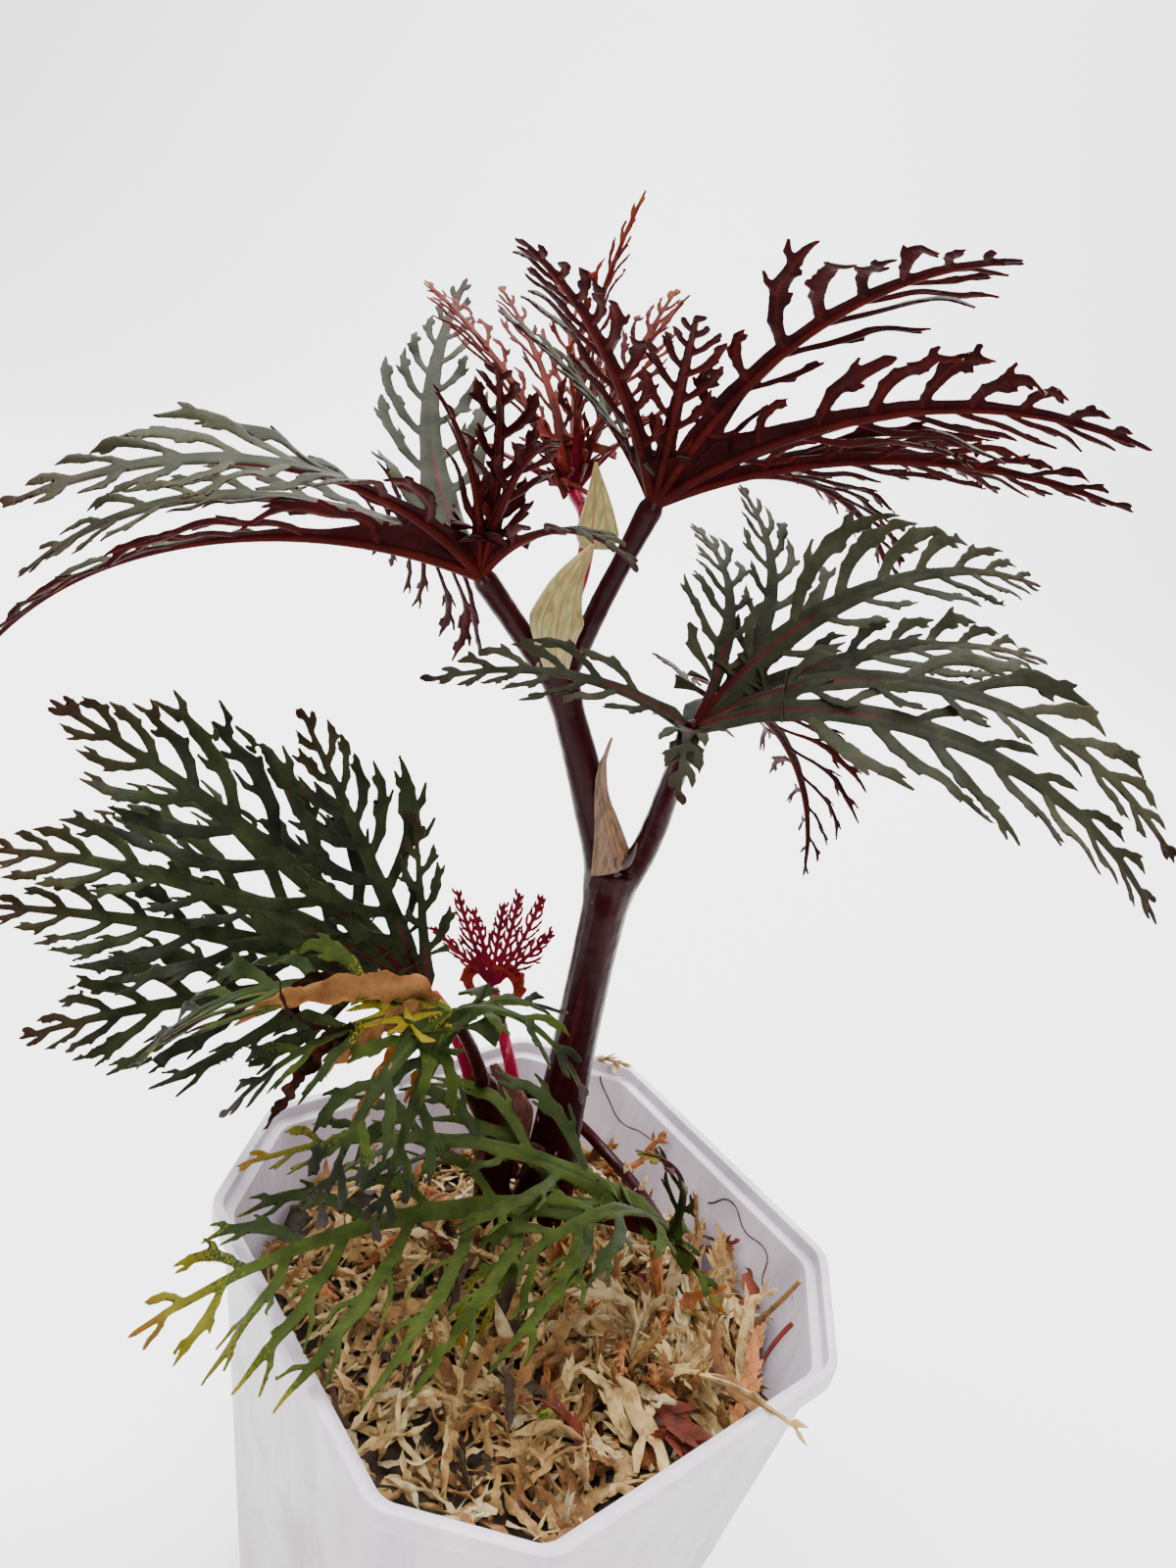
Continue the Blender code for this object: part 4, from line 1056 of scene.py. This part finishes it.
def drawLobe(rib, others, joints, luck, teethLong, slim):
    # how deep inside the lobe's outline each place of a flat grid lies
    reach = rib["reach"]
    leaflets = planLeaflets(rib, others, luck)
    spread = max([8.0] + [leaflet["length"] + 3 for leaflet in leaflets])
    pitch = rib["plan"].get("pitch", leafRule["pitch"])
    blend = rib["plan"].get("blend", leafRule["blend"])
    xs = np.arange(-1.2, reach + 6.0, pitch)
    ys = np.arange(-spread, spread + pitch, pitch)
    gridX, gridY = np.meshgrid(xs, ys, indexing="ij")
    web = np.where(gridY > 0, webWidth(gridX, rib, joints[1]), webWidth(gridX, rib, joints[-1]))
    deep = web - np.abs(gridY)
    deep = np.minimum(deep, (reach + 0.1 - gridX))
    total = np.exp(np.clip(deep, -4, 4) / blend)
    first = np.full(gridX.shape, -9.0)
    second = first.copy()
    owner = np.full(gridX.shape, -1)
    vein = np.abs(gridY)
    for k, leaflet in enumerate(leaflets):
        strokes = leafletStrokes(leaflet, rib, planTeeth(leaflet, teethLong, luck), slim)
        ends = np.array([stroke[:2] for stroke in strokes]).reshape(-1, 2)
        low = ((ends.min(0) - 2.4 - (xs[0], ys[0])) / pitch).astype(int).clip(0)
        high = ((ends.max(0) + 2.4 - (xs[0], ys[0])) / pitch).astype(int) + 2
        spot = (slice(low[0], high[0]), slice(low[1], high[1]))
        partX, partY, own = gridX[spot], gridY[spot], np.full(gridX[spot].shape, -9.0)
        for n, (start, end, wideStart, wideEnd) in enumerate(strokes):
            alongX, alongY = end - start
            part = ((partX - start[0]) * alongX + (partY - start[1]) * alongY) / (alongX * alongX + alongY * alongY)
            part = np.clip(part, 0, 1)
            away = np.hypot(partX - start[0] - part * alongX, partY - start[1] - part * alongY)
            inside = wideStart + (wideEnd - wideStart) * part - away
            total[spot] += np.exp(np.clip(inside, -4, 4) / blend)
            own = np.maximum(own, inside)
            vein[spot] = np.minimum(vein[spot], away + (0.0 if n < 5 else 0.12))
        mine = own > first[spot]
        second[spot] = np.maximum(second[spot], np.minimum(own, first[spot]))
        owner[spot] = np.where(mine, k, owner[spot])
        first[spot] = np.maximum(first[spot], own)
    blade = blend * np.log(total)
    # leaflets that would touch beyond the blade stay apart by a slit
    blade = np.minimum(blade, first - second - 1.1 * pitch + 4 * np.maximum(deep + 4 * pitch, 0))
    owner = np.where(first > deep, owner, -1)
    # what the slits cut off falls away
    solid = blade > 0
    kept = solid & (deep > 0)
    while True:
        grown = kept.copy()
        grown[1:] |= kept[:-1]
        grown[:-1] |= kept[1:]
        grown[:, 1:] |= kept[:, :-1]
        grown[:, :-1] |= kept[:, 1:]
        grown &= solid
        if grown.sum() == kept.sum():
            break
        kept = grown
    blade = np.where(solid & ~kept, -0.06, blade)
    # the lobe ends where its neighbour's share of the joined part begins
    edge = np.full(gridX.shape, 99.0)
    radius = np.hypot(gridX, gridY)
    for hand, joint in joints.items():
        if not joint["open"]:
            aside = gridX * sin(joint["half"]) - hand * gridY * cos(joint["half"])
            edge = np.minimum(edge, aside + 4 * np.maximum(radius - 0.97 * joint["radius"], 0))
    return leaflets, xs, ys, blade, edge, owner, vein


cornerCases = {
    1: [("a", "ab", "da")], 2: [("b", "bc", "ab")], 3: [("a", "b", "bc", "da")], 4: [("c", "cd", "bc")],
    5: [("a", "ab", "da"), ("c", "cd", "bc")], 6: [("b", "c", "cd", "ab")], 7: [("a", "b", "c", "cd", "da")],
    8: [("d", "da", "cd")], 9: [("a", "ab", "cd", "d")], 10: [("b", "bc", "ab"), ("d", "da", "cd")],
    11: [("a", "b", "bc", "cd", "d")], 12: [("c", "d", "da", "bc")], 13: [("a", "ab", "bc", "c", "d")],
    14: [("b", "c", "d", "da", "ab")], 15: [("a", "b", "c", "d")]}


def fillOutline(deep, values):
    # triangles over the part of a grid that is deeper than nothing, and each corner's values
    deep = np.where(np.abs(deep) < 0.05, np.where(deep > 0, 0.05, -0.05), deep)
    inside = deep > 0
    index = np.full(deep.shape, -1)
    index[inside] = np.arange(inside.sum())
    found = [[value[inside] for value in values]]
    edges = {}
    count = int(inside.sum())
    for name, first, second in (("x", np.s_[:-1, :], np.s_[1:, :]), ("y", np.s_[:, :-1], np.s_[:, 1:])):
        crossing = inside[first] != inside[second]
        marks = np.full(crossing.shape, -1)
        marks[crossing] = count + np.arange(crossing.sum())
        count += int(crossing.sum())
        part = (deep[first] / (deep[first] - deep[second] + 1e-12))[crossing]
        found.append([value[first][crossing] * (1 - part) + value[second][crossing] * part for value in values])
        edges[name] = marks
    spots = dict(a=index[:-1, :-1], b=index[1:, :-1], c=index[1:, 1:], d=index[:-1, 1:],
                 ab=edges["x"][:, :-1], cd=edges["x"][:, 1:], da=edges["y"][:-1, :], bc=edges["y"][1:, :])
    code = (inside[:-1, :-1] + 2 * inside[1:, :-1] + 4 * inside[1:, 1:] + 8 * inside[:-1, 1:]).astype(int)
    triangles = []
    for case, shapes in cornerCases.items():
        here = code == case
        if here.any():
            for shape in shapes:
                corners = np.stack([spots[corner][here] for corner in shape], 1)
                for k in range(1, len(shape) - 1):
                    triangles.append(corners[:, [0, k, k + 1]])
    merged = [np.concatenate([group[i] for group in found]) for i in range(len(values))]
    return np.concatenate(triangles), merged, int(inside.sum())


def sheetNormals(points, triangles):
    flat = np.cross(points[triangles[:, 1]] - points[triangles[:, 0]], points[triangles[:, 2]] - points[triangles[:, 0]])
    normals = np.zeros_like(points)
    for corner in range(3):
        np.add.at(normals, triangles[:, corner], flat)
    return normals / np.maximum(np.linalg.norm(normals, axis=1), 1e-12)[:, None]


def jointBetween(first, second):
    across = np.arccos(np.clip(np.dot(first["ahead"][0], second["ahead"][0]), -1, 1))
    half = min(max(across / 2, radians(9)), radians(36))
    radius = leafRule["web"] * min(first["reach"], second["reach"])
    return dict(open=False, half=half, radius=radius, along=radius * cos(half), wide=radius * sin(half))


def openJoint(rib):
    radius = 0.5 * leafRule["web"] * rib["reach"]
    return dict(open=True, half=radians(28), radius=radius, along=radius * cos(radians(28)),
                wide=radius * sin(radians(28)))


def dressLobe(rib, others, joints, neighbours, luck, plan):
    # one lobe as a closed thin blade: points, triangles and tones
    leaflets, xs, ys, blade, edge, owner, vein = drawLobe(rib, others, joints, luck, plan.get("teeth", 1.0),
                                                          plan.get("slim", 1.0))
    gridX, gridY = np.meshgrid(xs, ys, indexing="ij")
    table = {key: np.array([leaflet[key] for leaflet in leaflets] + [0.0]) for key in
             ("hand", "x", "lean", "length", "droop", "twist", "shade", "share")}
    # how far along and beside its leaflet's axis each place lies
    side = np.array([leaflet["hand"] for leaflet in leaflets] + [1.0])[owner]
    lean, length = table["lean"][owner], np.maximum(table["length"][owner], 1.0)
    fromX, fromY = gridX - table["x"][owner], gridY * side
    start = wingAt(rib, table["x"][owner]) / np.maximum(np.sin(lean), 0.3) + 0.8
    along = np.clip((fromX * np.cos(lean) + fromY * np.sin(lean) - start) / length, 0, 1.2)
    beside = -fromX * np.sin(lean) + fromY * np.cos(lean)
    mine = owner >= 0
    along, beside = np.where(mine, along, 0), np.where(mine, beside, 0)
    fold = plan.get("fold", 0.16)
    lift = fold * (np.sqrt(gridY ** 2 + 0.49) - 0.7)
    lift -= table["droop"][owner] * length * along ** 2
    lift += table["twist"][owner] * beside * smoothStep(along * 2.5)
    lift += 0.16 * np.sin(gridX * 0.9 + luck.uniform(0, 6)) * np.clip(np.abs(gridY) / 3, 0, 1)
    shade = table["shade"][owner]
    values = [gridX, gridY, lift, blade, edge, vein, along, shade, mine.astype(float)]
    triangles, (x, y, lift, blade, edge, vein, along, shade, mine), _ = fillOutline(np.minimum(blade, edge), values)
    points = placeOn(rib, x, y, lift)
    radius, angle = np.hypot(x, y), np.arctan2(y, x)
    for hand, joint in joints.items():
        if joint["open"]:
            continue
        near = (angle * hand > 0) & (radius < 1.8 * joint["radius"])
        share = smoothStep(angle[near] * hand / joint["half"])
        share *= 0.5 * (1 - smoothStep((radius[near] - joint["radius"]) / (0.8 * joint["radius"])))
        turned = -hand * (2 * joint["half"] - angle[near] * hand)
        other = placeOn(neighbours[hand], radius[near] * np.cos(turned), radius[near] * np.sin(turned), lift[near])
        points[near] = points[near] * (1 - share)[:, None] + other * share[:, None]
    normals = sheetNormals(points, triangles)
    margin = np.maximum(blade, 0)
    half = leafRule["rim"] + leafRule["blade"] * (1 - np.exp(-margin / 0.35))
    veinSize = np.clip(1 - 0.7 * x / rib["reach"], 0.2, 1)
    above = half - leafRule["groove"] * veinSize * np.exp(-(vein / 0.3) ** 2)
    below = half + leafRule["ridge"] * veinSize * np.exp(-(vein / 0.38) ** 2)
    rim = (blade < 0.012) & (edge > 0.05)
    count = len(points)
    topPoints = points + normals * np.where(rim, 0, above)[:, None]
    lowPoints = points - normals * below[:, None]
    under = np.where(rim, np.arange(count), count + np.arange(count))
    lowTriangles = under[triangles[:, ::-1]]
    # walls where the blade is cut, not at its own thin rim
    pairs = np.concatenate([triangles[:, [0, 1]], triangles[:, [1, 2]], triangles[:, [2, 0]]])
    key = pairs[:, 0] * (count + 1) + pairs[:, 1]
    back = pairs[:, 1] * (count + 1) + pairs[:, 0]
    border = pairs[~np.isin(key, back)]
    border = border[~(rim[border[:, 0]] & rim[border[:, 1]])]
    first, second = border[:, 0], border[:, 1]
    walls = np.concatenate([np.stack([second, first, under[first]], 1), np.stack([second, under[first], under[second]], 1)])
    walls = walls[(walls[:, 0] != walls[:, 1]) & (walls[:, 1] != walls[:, 2]) & (walls[:, 0] != walls[:, 2])]
    middle = {name: value[triangles].mean(1) for name, value in
              dict(x=x, y=y, vein=vein, along=along, shade=shade, mine=mine, margin=margin).items()}
    topTone, lowTone = dealTones(middle, rib, plan, luck)
    tones = np.concatenate([topTone, lowTone, np.full(len(walls), 5)])
    return np.concatenate([topPoints, lowPoints]), np.concatenate([triangles, lowTriangles, walls]), tones


def dealTones(middle, rib, plan, luck):
    # base colours dealt out by leaflet, with darker tips and a coloured midrib near the stalk
    share = middle["x"] / rib["reach"]
    loose = np.abs(np.sin(middle["x"] * 12.9 + middle["y"] * 78.2) * 43758.5) % 1
    top = np.where(middle["shade"] > 0.55, 1, 0)
    turning, tip = plan.get("tipFrom", (0.80, 0.94))
    ripe = np.maximum(share * 0.95, middle["along"] * 0.55 + share * 0.45) + 0.07 * loose
    top = np.where(ripe > turning, 2, top)
    top = np.where(ripe > tip, 3, top)
    veined = (np.abs(middle["y"]) < plan.get("veinWide", 0.34) * (1 - 0.7 * share)) & (
        share + 0.05 * loose < plan.get("veinTo", 0.40))
    top = np.where(share + 0.12 * loose < plan.get("heartTo", 0.0), 9, top)
    top = np.where(veined, 4, top)
    low = np.where(middle["shade"] > 0.5, 6, 5)
    low = np.where(ripe > turning, 7, low)
    low = np.where(middle["vein"] < 0.22 * (1 - 0.5 * share), 8, low)
    return top, low


def tube(path, widths, sides=8, closed=True):
    # rings of points round a path, joined into triangles; widths are radii
    path = np.asarray(path, float)
    ahead = np.gradient(path, axis=0)
    ahead /= np.linalg.norm(ahead, axis=1)[:, None]
    across = np.cross(ahead, (0.13, 0.27, 0.95))
    across /= np.maximum(np.linalg.norm(across, axis=1), 1e-6)[:, None]
    over = np.cross(ahead, across)
    turns = np.linspace(0, 2 * pi, sides, endpoint=False)
    rings = path[:, None, :] + np.asarray(widths)[:, None, None] * (
        across[:, None, :] * np.cos(turns)[None, :, None] + over[:, None, :] * np.sin(turns)[None, :, None])
    points = rings.reshape(-1, 3)
    triangles = []
    for level in range(len(path) - 1):
        low = level * sides
        i = np.arange(sides)
        j = (i + 1) % sides
        triangles.append(np.stack([low + i, low + j, low + sides + j], 1))
        triangles.append(np.stack([low + i, low + sides + j, low + sides + i], 1))
    if closed:
        count = len(points)
        points = np.vstack([points, path[0], path[-1]])
        i = np.arange(sides)
        j = (i + 1) % sides
        last = (len(path) - 1) * sides
        triangles.append(np.stack([j, i, np.full(sides, count)], 1))
        triangles.append(np.stack([last + i, last + j, np.full(sides, count + 1)], 1))
    return points, np.concatenate(triangles)


def crispShape(places, wide, crumple, luck, rings=56, sides=13):
    # a dried strip: ragged, curled up at its edges and crinkled
    path, across, over, at = sheathFrame(places, rings)
    part = np.linspace(-1, 1, sides)
    half = wide / 2 * np.interp(at, (0, 0.12, 0.6, 1), (0.45, 1.0, 0.75, 0.08))
    teeth = 0.65 + 0.35 * np.abs(np.sin(at[:, None] * luck.uniform(14, 20) + np.sign(part)[None, :]))
    reach = part[None, :] * half[:, None] * np.where(np.abs(part)[None, :] > 0.6, teeth, 1.0)
    waves = sum(luck.uniform(0.5, 1.0) * np.sin(at[:, None] * luck.uniform(12, 46) + part[None, :] * luck.uniform(-5, 5)
                                                + luck.uniform(0, 6)) for _ in range(5))
    lift = crumple * 0.4 * waves + 0.55 * part[None, :] ** 2 * half[:, None] * np.sin(at * 5 + luck.uniform(0, 3))[:, None]
    twist = np.cumsum(luck.normal(0, 0.09, rings))[:, None, None]
    side = across[:, None] * np.cos(twist) + over[:, None] * np.sin(twist)
    out = over[:, None] * np.cos(twist) - across[:, None] * np.sin(twist)
    middle = path[:, None] + side * reach[:, :, None] + out * lift[:, :, None]
    thick = out * (0.10 * (1.15 - part ** 2))[None, :, None]
    rim = np.concatenate([middle + thick, (middle - thick)[:, ::-1]], 1)
    points, faces = closeRings(rim.reshape(-1, 3), rings, 2 * sides)
    return points, faces


def makeLeaf(name, plan):
    luck = np.random.RandomState(plan["seed"])
    common = {key: value for key, value in plan.items() if key not in ("lobes", "dried")}
    ribs = [runRib(plan["centre"], {**common, **row}) for row in plan["lobes"]]
    points, triangles, tones = [], [], []
    count = 0

    def keep(newPoints, newTriangles, newTones):
        nonlocal count
        points.append(newPoints)
        triangles.append(newTriangles + count)
        tones.append(newTones)
        count += len(newPoints)

    for i, rib in enumerate(ribs):
        joints = {-1: jointBetween(ribs[i - 1], rib) if i > 0 else openJoint(rib),
                  1: jointBetween(rib, ribs[i + 1]) if i < len(ribs) - 1 else openJoint(rib)}
        neighbours = {-1: ribs[i - 1] if i > 0 else None, 1: ribs[i + 1] if i < len(ribs) - 1 else None}
        others = ribs[:i] + ribs[i + 1:]
        choice = rib["plan"]
        keep(*dressLobe(rib, others, joints, neighbours, luck, choice))
        # the midrib stands out underneath
        x = np.linspace(0.0, 0.96 * rib["reach"], 40)
        thick = plan.get("rib", 0.52) * (rib["reach"] / 55) ** 0.5 * (1 - x / rib["reach"]) ** 0.8 + 0.12
        path = placeOn(rib, x, np.zeros(len(x)), -0.1 - 0.55 * thick)
        tubePoints, tubeTriangles = tube(path, thick)
        keep(tubePoints, tubeTriangles, np.full(len(tubeTriangles), 8))
    for tone, wide, crumple, carrier, share, run in plan.get("dried", ()):
        start = ribs[carrier]["points"][round(share * (leafRule["stations"] - 1))]
        crispPoints, crispTriangles = crispShape(curlRun(start, **run), wide, crumple, luck)
        keep(crispPoints, crispTriangles, np.full(len(crispTriangles), toneOrder.index(tone)))
    tonesHere = [skins[plan["colours"].get(part, plan["colours"]["top"])] for part in toneOrder]
    piece = meshFromArrays(name + "_fine", np.concatenate(points), np.concatenate(triangles),
                           np.concatenate(tones), tonesHere)
    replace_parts(piece, name)
    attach(piece, "root")
    print(name, len(piece.data.polygons), "triangles")


for leafName, leafPlan in leafPlans.items():
    makeLeaf(leafName, leafPlan)
print("leaves grown")
